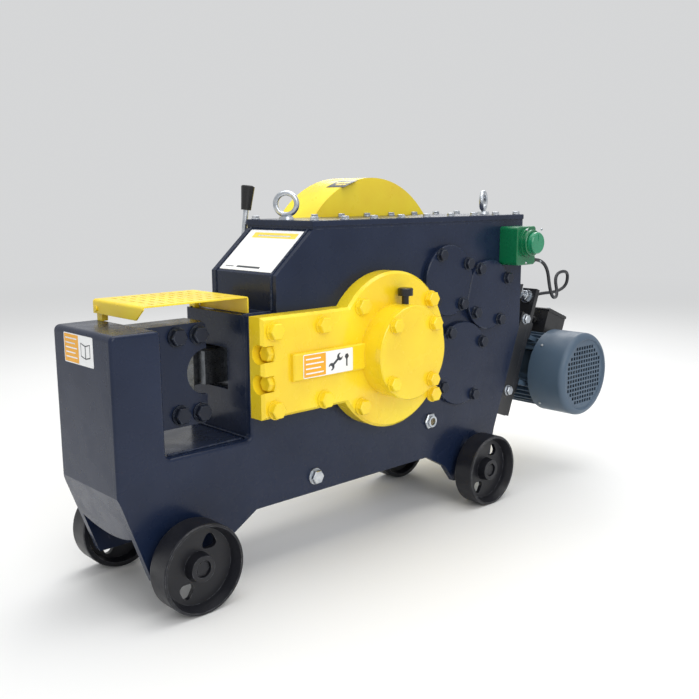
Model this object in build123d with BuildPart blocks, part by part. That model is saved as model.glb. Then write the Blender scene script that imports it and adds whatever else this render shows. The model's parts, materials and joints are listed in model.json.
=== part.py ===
"""Rebar cutter: a wheeled, motor driven guillotine for reinforcing bar, in millimetres.

Stations are measured x from the column's front face, y from the body's middle plane and z from the floor.
The near side is -Y, the far side, with flywheel and belts, is +Y, and the cutting end is at low x.
Every piece is shifted to the row frame as it is written: the origin is under the middle of the machine.
"""

import os
from math import atan2, cos, degrees, pi, radians, sin, sqrt, tan

from build123d import *

os.makedirs("parts", exist_ok=True)

# --- driving dimensions -----------------------------------------------------------------------------------
MIDDLE_X, MIDDLE_Y = 752.5, 18.3  # row origin, in stations
HALF = 112.0  # half width of the body over its side plates
SIDE = 16.0  # side plate thickness
INNER = HALF - SIDE
SKIN = 12.0  # bent plates of the box
COLUMN_PLATE = 16.0  # plates of the column and the throat floor
CORNER_R, EDGE_R = 12.0, 7.0  # corners of the column and the throat, and their outer edges
COLUMN = 104.0  # column depth, front face to throat
COLUMN_TOP = 544.0
THROAT_END = 305.0  # throat side of the ram housing
THROAT_FLOOR = 298.0
HOUSING_TOP = 551.0
BOX_FRONT = 376.0
SLOPE_FOOT = 626.0
BOX_TOP = 716.0
SLOPE_END = 478.0
BOX_REAR = 1214.0
SLANT_TOP = 435.0  # the rear wall leans forwards below this height
SLANT_FOOT = (1114.0, 171.0)
BELLY = 147.0  # underside between the feet
APRON_TOP = 243.0  # the column's front face turns back below this height
FLANGE_TOP, COVER_TOP = 722.0, 734.0

CRANK = (682.2, 442.9)
SHAFT_1, SHAFT_2, SHAFT_3 = (908.0, 581.0), (1065.4, 535.0), (960.9, 370.4)
MODULE_1, MODULE_2, MODULE_3 = 4.0, 5.0, 6.0
TEETH_1, TEETH_2, TEETH_3 = (28, 54), (24, 54), (26, 70)
STAGE_1, STAGE_2, STAGE_3 = (-58.0, -34.0), (-24.0, 8.0), (20.0, 64.0)  # faces of the three gear pairs
GEAR_SHAFT_R, CRANK_R = 25.0, 38.0
ECCENTRIC_R, THROW = 64.0, 24.0
YOKE_Y = (-42.0, 2.0)
RUNNING = 0.05  # radial clearance of a running fit

SHEAR_GAP = 0.3  # each blade stands this far from the shear plane at y = 0
FIXED_EDGE, MOVING_EDGE = 228.0, 274.0
RAM_Y, RAM_Z = (-34.0, 62.0), (392.0, 478.0)

COVER_R, COVER_DEEP = 177.0, 40.0  # keyhole cover on the near side
HUB_R, HUB_END = 105.0, 212.0
ARM_Z = (344.0, 551.0)

WHEEL_R, WHEEL_WIDE, WHEEL_IN = 90.0, 52.0, 130.0
WHEEL_X = (136.0, 1022.0)
AXLE_R = 12.0

MOTOR = (1390.0, 293.0)
SLANT = atan2(BOX_REAR - SLANT_FOOT[0], SLANT_TOP - SLANT_FOOT[1])
PLATE_GAP = (163.0, 177.0)  # motor plate, measured from the motor's axis towards the body
FAN_COVER_R, FAN_COVER_Y = 115.0, (-213.0, -102.0)
PULLEY_R, FLYWHEEL_R = 54.0, 234.0
WHEEL_FACES = (142.0, 232.0)  # flywheel rim
GUARD_R, GUARD_Y = 258.0, (130.0, 263.0)
GUARD_CENTRE = (895.0, 572.0)

TO_ROW = Location((-MIDDLE_X, -MIDDLE_Y, 0))


def save(piece, name):
    """Label a finished piece, shift it to the row frame and write it."""
    part = piece.part.moved(TO_ROW)
    part.label = name
    export_step(part, f"parts/{name}.step")


def across(y):
    """Sketch plane at station y: its axes are +X and +Z, and extruding goes towards -Y."""
    return Plane.XZ.offset(-y)


def outward(y):
    """Sketch plane at station y whose axes are -X and +Z, and extruding goes towards +Y."""
    return Plane(origin=(0, y, 0), x_dir=(-1, 0, 0), z_dir=(0, 1, 0))


def on_motor(y):
    """Sketch plane on the motor's axis: first axis up along the motor plate, second towards the body."""
    return Plane(origin=(MOTOR[0], y, MOTOR[1]), x_dir=(sin(SLANT), 0, cos(SLANT)), z_dir=(0, -1, 0))


def polar(centre, radius, angle):
    """The point at an angle in degrees from +X towards +Z."""
    return (centre[0] + radius * cos(radians(angle)), centre[1] + radius * sin(radians(angle)))


def inset(points, gap):
    """An open polyline moved to its right by gap, with mitred corners."""
    angles = [atan2(b[1] - a[1], b[0] - a[0]) for a, b in zip(points, points[1:])]
    angles = [angles[0]] + angles + [angles[-1]]
    moved = []
    for (x, z), before, after in zip(points, angles, angles[1:]):
        mid = (before + after) / 2
        reach = gap / cos((after - before) / 2)
        moved.append((x + reach * sin(mid), z - reach * cos(mid)))
    return moved


def bent(points, thick):
    """Outline of a bent plate: an open polyline and the same line moved inwards."""
    return points + inset(points, thick)[::-1]


def slab(points, y_far, y_near, mode=Mode.ADD):
    """Extrude a closed outline between two stations."""
    with BuildSketch(across(y_far)) as outline:
        with BuildLine():
            Polyline(*points, close=True)
        make_face()
    extrude(outline.sketch, amount=y_far - y_near, mode=mode)


def rounds(points, radius, y_far, y_near, mode=Mode.ADD):
    """Rounds along Y at points, between two stations."""
    with BuildSketch(across(y_far)) as circles:
        with Locations(*points):
            Circle(radius)
    extrude(circles.sketch, amount=y_far - y_near, mode=mode)


def box(x, y, z, mode=Mode.ADD):
    """A block between pairs of stations."""
    with BuildSketch(Plane.XY.offset(z[0])) as base:
        with Locations(((x[0] + x[1]) / 2, (y[0] + y[1]) / 2)):
            Rectangle(x[1] - x[0], y[1] - y[0])
    extrude(base.sketch, amount=z[1] - z[0], mode=mode)


def turned(centre, profile, mode=Mode.ADD):
    """Revolve a closed (radius, y) profile about the axis along Y through a centre."""
    with BuildSketch(Plane(origin=(centre[0], 0, centre[1]), x_dir=(1, 0, 0), z_dir=(0, 0, 1))) as half:
        with BuildLine():
            Polyline(*profile, close=True)
        make_face()
    revolve(half.sketch, axis=Axis((centre[0], 0, centre[1]), (0, 1, 0)), mode=mode)


def stud(plane, points, radius, length):
    """Rounds standing on a plane at points."""
    with BuildSketch(plane) as circles:
        with Locations(*points):
            Circle(radius)
    extrude(circles.sketch, amount=length)


def hexagons(plane, points, flats, length):
    """Hexagon prisms standing on a plane at points, their far edges bevelled."""
    bevel = 0.06 * flats
    with BuildSketch(plane) as heads:
        with Locations(*points):
            RegularPolygon(flats / 2, 6, major_radius=False)
    extrude(heads.sketch, amount=length - bevel)
    with BuildSketch(plane.offset(length - bevel)) as tops:
        with Locations(*points):
            RegularPolygon(flats / 2, 6, major_radius=False)
    extrude(tops.sketch, amount=bevel, taper=45)


def bolts(plane, points, size, grip):
    """Hexagon bolts on a plane at points: shank into the metal, washer on it and head outside."""
    washer = 0.18 * size
    if grip:
        stud(plane.offset(-grip), points, size / 2, grip)
    stud(plane, points, size, washer)
    hexagons(plane.offset(washer), points, 1.55 * size, 0.62 * size)


# --- welded body ------------------------------------------------------------------------------------------
FOOT_TIP = (59.0, 76.0)
SIDE_OUTLINE = [
    (0, APRON_TOP), (0, COLUMN_TOP), (COLUMN, COLUMN_TOP), (COLUMN, THROAT_FLOOR),
    (THROAT_END, THROAT_FLOOR), (THROAT_END, HOUSING_TOP),
    (BOX_FRONT, HOUSING_TOP), (BOX_FRONT, SLOPE_FOOT), (SLOPE_END, BOX_TOP),
    (BOX_REAR, BOX_TOP), (BOX_REAR, SLANT_TOP), SLANT_FOOT, (1092, 62), (952, 62), (916, 108), (845, BELLY),
    (314, BELLY), (248, 107), (212, 64), (64, 64), FOOT_TIP,
]
KEYHOLE_BOLTS = [
    (336, 522), (466, 522), (579, 550), (803, 548),
    (815, 321), (579, 328), (469, 363), (336, 362),
]
COVER_BOLTS_1 = [(873, 645), (974, 619), (954, 521), (852, 536)]
COVER_BOLTS_2 = [(1022, 603), (1137, 573), (1109, 468), (1009, 494)]
COVER_BOLTS_3 = [(911, 453), (1037, 418), (1007, 285), (885, 321)]
SIGHT, DRAIN = (853.0, 239.0), (475.0, 183.0)
BUSH_R = 45.0
LEVER_PIVOT, LEVER_SHAFT_R = (455.0, 443.0), 11.0
FORK_BOSS, FORK_ROD_R = (560.0, CRANK[1]), 8.0
PLATE_BOLTS = KEYHOLE_BOLTS + COVER_BOLTS_1 + COVER_BOLTS_2 + COVER_BOLTS_3


def is_corner(edge):
    """Whether an edge along Y is at the top of the column or at the bottom of the throat."""
    x, z = edge.center().X, edge.center().Z
    top = z > COLUMN_TOP - 1 and x < COLUMN + 1
    bottom = abs(z - THROAT_FLOOR) < 1 and x > COLUMN - 1
    return abs(edge.tangent_at(0).Y) > 0.9 and z < HOUSING_TOP - 1 and (top or bottom)


def side_plate(near):
    """A whole side of the body, its outer edges rounded round the column and the throat."""
    side = -1 if near else 1
    y_near, y_far = (-HALF, -INNER) if near else (INNER, HALF)
    with BuildPart() as plate:
        slab(SIDE_OUTLINE, y_far, y_near)
        fillet(plate.edges().filter_by(is_corner), CORNER_R)
        outer = plate.faces().sort_by(Axis.Y)[0 if near else -1]
        upper = [e for e in outer.edges() if e.center().Z > APRON_TOP]
        fillet([e for e in upper if e.center().X < THROAT_END + 1], EDGE_R)
        rounds([(x, WHEEL_R) for x in WHEEL_X], AXLE_R, y_far, y_near, Mode.SUBTRACT)
        rounds([CRANK], 118 if near else CRANK_R + 14, y_far, y_near, Mode.SUBTRACT)
        if near:
            rounds([SHAFT_1, SHAFT_2, SHAFT_3], BUSH_R, y_far, y_near, Mode.SUBTRACT)
            rounds(PLATE_BOLTS, 8.5, y_far, y_near, Mode.SUBTRACT)
            rounds([SIGHT], 12, y_far, y_near, Mode.SUBTRACT)
            rounds([DRAIN], 9, y_far, y_near, Mode.SUBTRACT)
        else:
            rounds([SHAFT_1, SHAFT_2, SHAFT_3], BUSH_R, y_far, y_near, Mode.SUBTRACT)
            rounds([LEVER_PIVOT], LEVER_SHAFT_R + RUNNING, y_far, y_near, Mode.SUBTRACT)
            rounds([FORK_BOSS], FORK_ROD_R, INNER, 66)
    return plate


save(side_plate(True), "side_plate_near")
save(side_plate(False), "side_plate_far")

APRON_DROP = 112.0  # length of the apron down the slope
with BuildPart() as column:
    line = [(0, APRON_TOP), (0, COLUMN_TOP), (COLUMN, COLUMN_TOP), (COLUMN, THROAT_FLOOR)]
    slab(bent(line, COLUMN_PLATE), INNER, -INNER)
    tops = column.edges().filter_by(Axis.Y).filter_by(lambda e: e.center().Z > COLUMN_TOP - 1)
    fillet(tops, CORNER_R)
    box((COLUMN - COLUMN_PLATE, THROAT_END), (-INNER, INNER), (THROAT_FLOOR - COLUMN_PLATE, THROAT_FLOOR))
    lean = atan2(FOOT_TIP[0], APRON_TOP - FOOT_TIP[1])
    slope = Plane(origin=(0, 0, APRON_TOP), x_dir=(0, -1, 0), z_dir=(-cos(lean), 0, -sin(lean)))
    with BuildSketch(slope):
        with BuildLine():
            Polyline((-INNER, -APRON_DROP + 18), (-INNER, 0), (INNER, 0), (INNER, -APRON_DROP + 18))
            ThreePointArc((INNER, -APRON_DROP + 18), (0, -APRON_DROP), (-INNER, -APRON_DROP + 18))
        make_face()
    extrude(amount=-SKIN)
save(column, "column_box")

with BuildPart() as housing:
    line = [(THROAT_END, THROAT_FLOOR - 16), (THROAT_END, HOUSING_TOP), (BOX_FRONT, HOUSING_TOP),
            (BOX_FRONT, SLOPE_FOOT), (SLOPE_END, BOX_TOP)]
    slab(bent(line, SKIN), INNER, -INNER)
    box((THROAT_END - 1, THROAT_END + SKIN + 1), (RAM_Y[0] - 1, RAM_Y[1] + 1), (RAM_Z[0] - 1, RAM_Z[1] + 1),
        Mode.SUBTRACT)
    box((SLOPE_END - 1, BOX_REAR), (-HALF, HALF), (BOX_TOP, FLANGE_TOP))
    box((SLOPE_END + 24, BOX_REAR - 24), (-HALF + 24, HALF - 24), (BOX_TOP, FLANGE_TOP), Mode.SUBTRACT)
save(housing, "housing_front")

with BuildPart() as rear:
    slab(bent([(BOX_REAR, BOX_TOP), (BOX_REAR, SLANT_TOP), SLANT_FOOT], SKIN), INNER, -INNER)
    line = [SLANT_FOOT, (SLANT_FOOT[0] - 9, BELLY), (THROAT_END, BELLY), (THROAT_END, THROAT_FLOOR - 16)]
    slab(bent(line, SKIN), INNER, -INNER)
save(rear, "rear_wall")

EYE_X = (499.0, 1190.0)
TOP_BOLT_X = [SLOPE_END + 14 + i * (BOX_REAR - SLOPE_END - 28) / 8 for i in range(9)]
TOP_BOLTS = [(x, y) for x in TOP_BOLT_X for y in (-100.0, 100.0)]
with BuildPart() as cover:
    box((SLOPE_END - 3, BOX_REAR + 3), (-HALF - 3, HALF + 3), (FLANGE_TOP, COVER_TOP))
    fillet(cover.edges().filter_by(Axis.Z), 5)
    chamfer(cover.faces().sort_by(Axis.Z)[-1].edges(), 1.5)
    with BuildSketch(Plane.XY.offset(COVER_TOP)):
        with Locations(*TOP_BOLTS):
            Circle(5)
    extrude(amount=FLANGE_TOP - COVER_TOP, mode=Mode.SUBTRACT)
    with BuildSketch(Plane.XY.offset(COVER_TOP)):
        with Locations(*[(x, 0) for x in EYE_X]):
            Circle(8)
    extrude(amount=FLANGE_TOP - COVER_TOP, mode=Mode.SUBTRACT)
save(cover, "top_cover")

with BuildPart() as cover_bolts:
    bolts(Plane.XY.offset(COVER_TOP), TOP_BOLTS, 10, COVER_TOP - FLANGE_TOP)
save(cover_bolts, "cover_bolts")

EYE_R, EYE_WIRE = 22.8, 6.2
with BuildPart() as eyes:
    for x, turn in zip(EYE_X, (-46.0, 24.0)):
        with BuildSketch(Plane.XY.offset(COVER_TOP)):
            with Locations((x, 0)):
                Circle(17)
        extrude(amount=7, taper=18)
        with BuildSketch(Plane.XY.offset(COVER_TOP)):
            with Locations((x, 0)):
                Circle(8)
        extrude(amount=FLANGE_TOP - COVER_TOP)
        centre = (x, 0, COVER_TOP + 5 + EYE_R + EYE_WIRE)
        normal = (sin(radians(turn)), -cos(radians(turn)), 0)
        ring = Plane(origin=centre, x_dir=(cos(radians(turn)), sin(radians(turn)), 0), z_dir=(0, 0, 1))
        with BuildSketch(ring):
            with Locations((EYE_R, 0)):
                Circle(EYE_WIRE)
            with Locations((EYE_R - EYE_WIRE, 0)):
                Rectangle(2, 2 * EYE_WIRE, mode=Mode.SUBTRACT)
        revolve(axis=Axis(centre, normal))
save(eyes, "eye_bolts")


# --- blades and ram ---------------------------------------------------------------------------------------
SEAT_END, HOLDER_END = 176.0, 248.0
HOLDER_Y = (-44.0, -30.0)
HOLDER_BOLTS = [(179, 516), (229, 516), (182, 359), (231, 357)]
with BuildPart() as seat:
    slab([(COLUMN, 334), (HOLDER_END, 334), (HOLDER_END, 383), (SEAT_END, 383), (SEAT_END, 497),
          (HOLDER_END, 497), (HOLDER_END, 540), (COLUMN, 540)], 30, HOLDER_Y[1])
    rounds(HOLDER_BOLTS, 10, HOLDER_Y[1] + 30, HOLDER_Y[1], Mode.SUBTRACT)
save(seat, "blade_seat")

with BuildPart() as holder:
    with BuildSketch(across(HOLDER_Y[1])):
        with BuildLine():
            Polyline((HOLDER_END, 486), (HOLDER_END, 534), (242, 540), (COLUMN + 1, 540), (COLUMN + 1, 334),
                     (242, 334), (HOLDER_END, 340), (HOLDER_END, 392))
            ThreePointArc((HOLDER_END, 392), (201, 440), (HOLDER_END, 486))
        make_face()
    extrude(amount=HOLDER_Y[1] - HOLDER_Y[0])
    rounds(HOLDER_BOLTS, 10, HOLDER_Y[1], HOLDER_Y[0], Mode.SUBTRACT)
save(holder, "blade_holder")

with BuildPart() as holder_bolts:
    bolts(across(HOLDER_Y[0]), HOLDER_BOLTS, 20, 44)
save(holder_bolts, "holder_bolts")

with BuildPart() as fixed_blade:
    box((SEAT_END, FIXED_EDGE), (HOLDER_Y[1], -SHEAR_GAP), (385, 495))
    chamfer(fixed_blade.edges().filter_by(Axis.Z).sort_by(Axis.X)[2:3], 2)
save(fixed_blade, "fixed_blade")

NOSE, RAM_FRONT, RAM_REAR = 262.0, 322.0, 450.0
BLADE_THICK = 30.0
with BuildPart() as moving_blade:
    box((MOVING_EDGE, RAM_FRONT), (SHEAR_GAP, BLADE_THICK), (400, 470))
save(moving_blade, "moving_blade")

with BuildPart() as ram:
    box((RAM_FRONT, RAM_REAR), RAM_Y, RAM_Z)
    box((NOSE, RAM_FRONT), (BLADE_THICK, RAM_Y[1]), (396, 474))
    chamfer(ram.edges().filter_by(Axis.X).group_by(SortBy.LENGTH)[-1], 3)
    bolts(outward(RAM_Y[1]), [(-280, 418), (-280, 452)], 12, 0)
save(ram, "ram")

GUIDE_X = (THROAT_END + SKIN, 440.0)
with BuildPart() as guides:
    box(GUIDE_X, (-INNER, INNER), (352, 518))
    box(GUIDE_X, (RAM_Y[0] - RUNNING, RAM_Y[1] + RUNNING), (RAM_Z[0] - RUNNING, RAM_Z[1] + RUNNING),
        Mode.SUBTRACT)
save(guides, "ram_guides")

ECCENTRIC = (CRANK[0] + THROW, CRANK[1])
WINDOW = (2 * (ECCENTRIC_R + 5.5), 2 * (ECCENTRIC_R + THROW + 1))  # wide enough for an evenly driven ram
YOKE_RIM = 25.0
with BuildPart() as yoke:
    box((RAM_REAR, RAM_REAR + 14), (RAM_Y[0], STAGE_3[0] - 4), RAM_Z)
    box((RAM_REAR + 14, ECCENTRIC[0] - WINDOW[0] / 2 - 1), (RAM_Y[0], YOKE_Y[1]), (412, 474))
    with BuildSketch(across(YOKE_Y[1])):
        with Locations(ECCENTRIC):
            RectangleRounded(WINDOW[0] + 2 * YOKE_RIM, WINDOW[1] + 2 * YOKE_RIM, 30)
            RectangleRounded(WINDOW[0], WINDOW[1], 8, mode=Mode.SUBTRACT)
    extrude(amount=YOKE_Y[1] - YOKE_Y[0])
save(yoke, "ram_yoke")


# --- shafts and gears -------------------------------------------------------------------------------------
def involute(angle):
    """Involute function of an angle in radians."""
    return tan(angle) - angle


def gear(centre, teeth, module, span, bore, turn=0.0):
    """A spur gear of straight flanked teeth lying just inside the 20 degree involute."""
    pitch = teeth * module / 2
    half = pi / (2 * teeth) + involute(radians(20))
    outline = []
    for tooth in range(teeth):
        middle = 360 * tooth / teeth + turn
        for radius in (pitch - 1.25 * module, pitch + module):
            pressure = pitch * cos(radians(20)) / max(radius, pitch * cos(radians(20)))
            share = half - involute(atan2(sqrt(1 - pressure * pressure), pressure))
            outline.append((radius, middle, degrees(share) * 0.96))
    points = []
    for (low, middle, wide), (high, _, narrow) in zip(outline[::2], outline[1::2]):
        points += [polar(centre, low, middle - wide), polar(centre, high, middle - narrow)]
        points += [polar(centre, high, middle + narrow), polar(centre, low, middle + wide)]
    slab(points, span[1], span[0])
    rounds([centre], bore, span[1], span[0], Mode.SUBTRACT)


def toothed_shaft(gears, centre, y_near, y_far):
    """A plain shaft with its gears fixed on it."""
    with BuildPart() as piece:
        for teeth, module, span, turn in gears:
            gear(centre, teeth, module, span, GEAR_SHAFT_R - 1, turn)
        rounds([centre], GEAR_SHAFT_R, y_far, y_near)
    return piece


def mesh_turn(centre, other, teeth, other_teeth, other_turn):
    """Turn in degrees that puts a gap of this gear where the other gear has its tooth."""
    line = degrees(atan2(other[1] - centre[1], other[0] - centre[0]))
    phase = (line + 180 - other_turn) * other_teeth / 360
    return line + (phase % 1 + 0.5) * 360 / teeth


TURN_2 = mesh_turn(SHAFT_2, SHAFT_1, TEETH_1[1], TEETH_1[0], 0.0)
TURN_3 = mesh_turn(SHAFT_3, SHAFT_2, TEETH_2[1], TEETH_2[0], 0.0)
TURN_4 = mesh_turn(CRANK, SHAFT_3, TEETH_3[1], TEETH_3[0], 0.0)
SHAFT_END = INNER + 12
save(toothed_shaft([(TEETH_1[0], MODULE_1, STAGE_1, 0.0)], SHAFT_1, -SHAFT_END, 236), "flywheel_shaft")
save(toothed_shaft([(TEETH_1[1], MODULE_1, STAGE_1, TURN_2), (TEETH_2[0], MODULE_2, STAGE_2, 0.0)],
                   SHAFT_2, -SHAFT_END, SHAFT_END), "second_shaft")
save(toothed_shaft([(TEETH_2[1], MODULE_2, STAGE_2, TURN_3), (TEETH_3[0], MODULE_3, STAGE_3, 0.0)],
                   SHAFT_3, -SHAFT_END, SHAFT_END), "third_shaft")

with BuildPart() as crank_gear:
    gear(CRANK, TEETH_3[1], MODULE_3, STAGE_3, CRANK_R + RUNNING, TURN_4)
save(crank_gear, "crank_gear")

HUB_BUSH = (-190.0, -154.0)
with BuildPart() as crankshaft:
    rounds([CRANK], CRANK_R, SHAFT_END, HUB_BUSH[0])
    rounds([ECCENTRIC], ECCENTRIC_R, YOKE_Y[1], YOKE_Y[0])
save(crankshaft, "crankshaft")

SLEEVE_Y, SLEEVE_R, GROOVE_R = (69.0, 91.0), 60.0, 48.0
with BuildPart() as sleeve:
    bore = CRANK_R + RUNNING
    turned(CRANK, [(bore, SLEEVE_Y[0]), (SLEEVE_R, SLEEVE_Y[0]), (SLEEVE_R, 76), (GROOVE_R, 76),
                   (GROOVE_R, 84), (SLEEVE_R, 84), (SLEEVE_R, SLEEVE_Y[1]), (bore, SLEEVE_Y[1])])
save(sleeve, "clutch_sleeve")

with BuildPart() as fork:
    slab([(548, 385), (CRANK[0], 385), (CRANK[0], 501), (548, 501)], 82.5, 77.5)
    rounds([FORK_BOSS], 17, 90, 70)
    rounds([CRANK], GROOVE_R + 0.5, 82.5, 77.5, Mode.SUBTRACT)
    rounds([FORK_BOSS], FORK_ROD_R + RUNNING, 90, 70, Mode.SUBTRACT)
save(fork, "shift_fork")

with BuildPart() as bushes:
    for y_near, y_far in ((-HALF, -INNER + 2), (INNER - 2, HALF)):
        rounds([SHAFT_1, SHAFT_2, SHAFT_3], BUSH_R, y_far, y_near)
        rounds([SHAFT_1, SHAFT_2, SHAFT_3], GEAR_SHAFT_R + RUNNING, y_far, y_near, Mode.SUBTRACT)
    rounds([CRANK], CRANK_R + 14, HALF, INNER - 2)
    rounds([CRANK], CRANK_R + 14, HUB_BUSH[1], HUB_BUSH[0])
    rounds([CRANK], CRANK_R + RUNNING, HALF, INNER - 2, Mode.SUBTRACT)
    rounds([CRANK], CRANK_R + RUNNING, HUB_BUSH[1], HUB_BUSH[0], Mode.SUBTRACT)
save(bushes, "bearing_bushes")

with BuildPart() as far_caps:
    rounds([CRANK, SHAFT_2, SHAFT_3], 66, HALF + 8, HALF)
    rounds([SHAFT_1], 66, HALF + 8, HALF)
    rounds([SHAFT_1], GEAR_SHAFT_R + 1, HALF + 8, HALF, Mode.SUBTRACT)
    for centre in (CRANK, SHAFT_1, SHAFT_2, SHAFT_3):
        seats = [(-x, z) for x, z in (polar(centre, 54, 45 + 90 * i) for i in range(4))]
        bolts(outward(HALF + 8), seats, 8, 0)
save(far_caps, "far_bearing_caps")


# --- clutch lever -----------------------------------------------------------------------------------------
LEVER_Y = 143.0
LEAN = atan2(50, 363)
ROD_LONG, GRIP_LONG = 314.0, 55.0
with BuildPart() as lever:
    rounds([LEVER_PIVOT], LEVER_SHAFT_R, LEVER_Y + 10, 67)
    rounds([LEVER_PIVOT], 20, LEVER_Y + 10, LEVER_Y - 12)
    slab([(455, 431), (536, 436), (536, 450), (455, 455)], 93, 85)
    foot = (LEVER_PIVOT[0], LEVER_Y, LEVER_PIVOT[1])
    up = Plane(origin=foot, x_dir=(0, 1, 0), z_dir=(sin(LEAN), 0, cos(LEAN)))
    stud(up, [(0, 0)], 6, ROD_LONG + 20)
save(lever, "clutch_lever")

with BuildPart() as grip:
    with BuildSketch(up.offset(ROD_LONG)):
        Circle(11.5)
        Circle(6, mode=Mode.SUBTRACT)
    with BuildSketch(up.offset(ROD_LONG + 20)):
        Circle(13)
        Circle(6, mode=Mode.SUBTRACT)
    loft()
    with BuildSketch(up.offset(ROD_LONG + 20)):
        Circle(13)
    with BuildSketch(up.offset(ROD_LONG + GRIP_LONG)):
        Circle(16)
    loft()
    chamfer(grip.faces().sort_by(Axis.Z)[-1].edges(), 2)
save(grip, "lever_grip")


# --- near side covers -------------------------------------------------------------------------------------
COVER_FACE = -HALF - COVER_DEEP
CHANNELS = [(140.0, 477.0), (140.0, 416.0)]
end_plane = Plane(origin=(THROAT_END, 0, 0), x_dir=(0, -1, 0), z_dir=(-1, 0, 0))
with BuildPart() as rod_cover:
    with BuildSketch(across(-HALF)):
        with Locations(CRANK):
            Circle(COVER_R)
        with Locations(((THROAT_END + CRANK[0]) / 2, (ARM_Z[0] + ARM_Z[1]) / 2)):
            Rectangle(CRANK[0] - THROAT_END, ARM_Z[1] - ARM_Z[0])
    extrude(amount=COVER_DEEP)
    chamfer(rod_cover.faces().sort_by(Axis.Y)[0].edges(), 6)
    box((378, 590), (COVER_FACE - 11, COVER_FACE), (414, 471))
    chamfer(rod_cover.faces().sort_by(Axis.Y)[0].edges(), 3)
    rounds([CRANK], HUB_R, COVER_FACE, -HUB_END + 14)
    rounds([CRANK], 112, -HALF, COVER_FACE + 14, Mode.SUBTRACT)
    box((350, 600), (COVER_FACE + 14, -HALF), (390, 497), Mode.SUBTRACT)
    rounds([CRANK], CRANK_R + 14, COVER_FACE + 14, HUB_BUSH[0] - 3, Mode.SUBTRACT)
    with BuildSketch(end_plane.offset(-30)):
        with Locations(*CHANNELS):
            Circle(20)
    extrude(amount=30, mode=Mode.SUBTRACT)
    rounds(KEYHOLE_BOLTS, 10, -HALF, COVER_FACE, Mode.SUBTRACT)
    with BuildSketch(Plane.XY.offset(520)):
        with Locations((695, -173)):
            Circle(8)
    extrude(amount=40, mode=Mode.SUBTRACT)
save(rod_cover, "rod_cover")

CAP_BOLTS = [polar(CRANK, 90, 42 + 90 * i) for i in range(4)]
with BuildPart() as hub_cap:
    rounds([CRANK], HUB_R, -HUB_END + 14, -HUB_END)
    chamfer(hub_cap.faces().sort_by(Axis.Y)[0].edges(), 2)
save(hub_cap, "hub_cap")

with BuildPart() as rod_cover_bolts:
    bolts(across(COVER_FACE), KEYHOLE_BOLTS, 20, COVER_DEEP)
    bolts(across(-HUB_END), CAP_BOLTS, 18, 0)
    bolts(end_plane.offset(-30), CHANNELS, 19, 0)
save(rod_cover_bolts, "rod_cover_bolts")

with BuildPart() as filler:
    stud(Plane.XY.offset(520), [(695, -173)], 8, 46)
    stud(Plane.XY.offset(566), [(695, -173)], 17, 17)
    chamfer(filler.faces().sort_by(Axis.Z)[-1].edges(), 2)
save(filler, "oil_filler")

with BuildPart() as sight_ring:
    hexagons(across(-HALF), [SIGHT], 36, 7)
    rounds([SIGHT], 14, -HALF - 7, -HALF - 12)
    rounds([SIGHT], 9, -HALF, -HALF - 12, Mode.SUBTRACT)
save(sight_ring, "sight_glass_ring")

with BuildPart() as sight_lens:
    rounds([SIGHT], 9, -HALF, -HALF - 8)
save(sight_lens, "sight_glass_lens")

CHORD = (SHAFT_2[0] - SHAFT_1[0], SHAFT_2[1] - SHAFT_1[1])
CHORD_LONG = sqrt(CHORD[0] ** 2 + CHORD[1] ** 2)
NORMAL = (CHORD[0] / CHORD_LONG, CHORD[1] / CHORD_LONG)


def beyond(origin, near, far):
    """Rectangle across the line from shaft one to shaft two, between two distances from an origin."""
    def point(reach, aside):
        x = origin[0] + reach * NORMAL[0] - aside * NORMAL[1]
        return (x, origin[1] + reach * NORMAL[1] + aside * NORMAL[0])
    return [point(near, -120), point(far, -120), point(far, 120), point(near, 120)]


with BuildPart() as bearing_covers:
    rounds([SHAFT_1], 86, -HALF, -HALF - 12)
    rounds([SHAFT_2], 88, -HALF, -HALF - 12)
    slab(beyond(SHAFT_1, 80.2, 81.6), -HALF, -HALF - 12, Mode.SUBTRACT)
    rounds([SHAFT_3], 105, -HALF, -HALF - 12)
    chamfer(bearing_covers.faces().group_by(Axis.Y)[0].edges(), 2)
    rounds(COVER_BOLTS_1 + COVER_BOLTS_2 + COVER_BOLTS_3, 8, -HALF, -HALF - 12, Mode.SUBTRACT)
save(bearing_covers, "bearing_covers")

with BuildPart() as cover_screws:
    bolts(across(-HALF - 12), COVER_BOLTS_1 + COVER_BOLTS_2 + COVER_BOLTS_3, 16, 26)
save(cover_screws, "bearing_cover_bolts")


# --- wheels and axles -------------------------------------------------------------------------------------
HUB_LONG = 46.0
WINDOW_REACH = 51.0  # from the wheel's centre to each window's


def wheel(x, side):
    """Cast disc wheel with a dished web and two windows."""
    def at(reach):
        return side * (WHEEL_IN + reach)
    centre = (x, WHEEL_R)
    with BuildPart() as piece:
        turned(centre, [(WHEEL_R - 1, at(0)), (WHEEL_R, at(3)), (WHEEL_R, at(49)),
                        (WHEEL_R - 1.5, at(WHEEL_WIDE)), (WHEEL_R - 6, at(WHEEL_WIDE)),
                        (WHEEL_R - 12, at(36)), (WHEEL_R - 14, at(28)),
                        (30, at(26)), (26, at(HUB_LONG)), (17, at(HUB_LONG)), (17, at(38)),
                        (AXLE_R + RUNNING, at(38)), (AXLE_R + RUNNING, at(4)), (28, at(4)), (32, at(16)),
                        (WHEEL_R - 16, at(18)), (WHEEL_R - 10, at(0))])
        for turn in (58.0, 238.0):
            with BuildSketch(across(max(at(0), at(WHEEL_WIDE)))) as window:
                with Locations(polar(centre, WINDOW_REACH, turn)):
                    RegularPolygon(27, 3, rotation=turn + 30)
                fillet(window.vertices(), 10)
            extrude(window.sketch, amount=WHEEL_WIDE, mode=Mode.SUBTRACT)
    return piece


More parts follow.
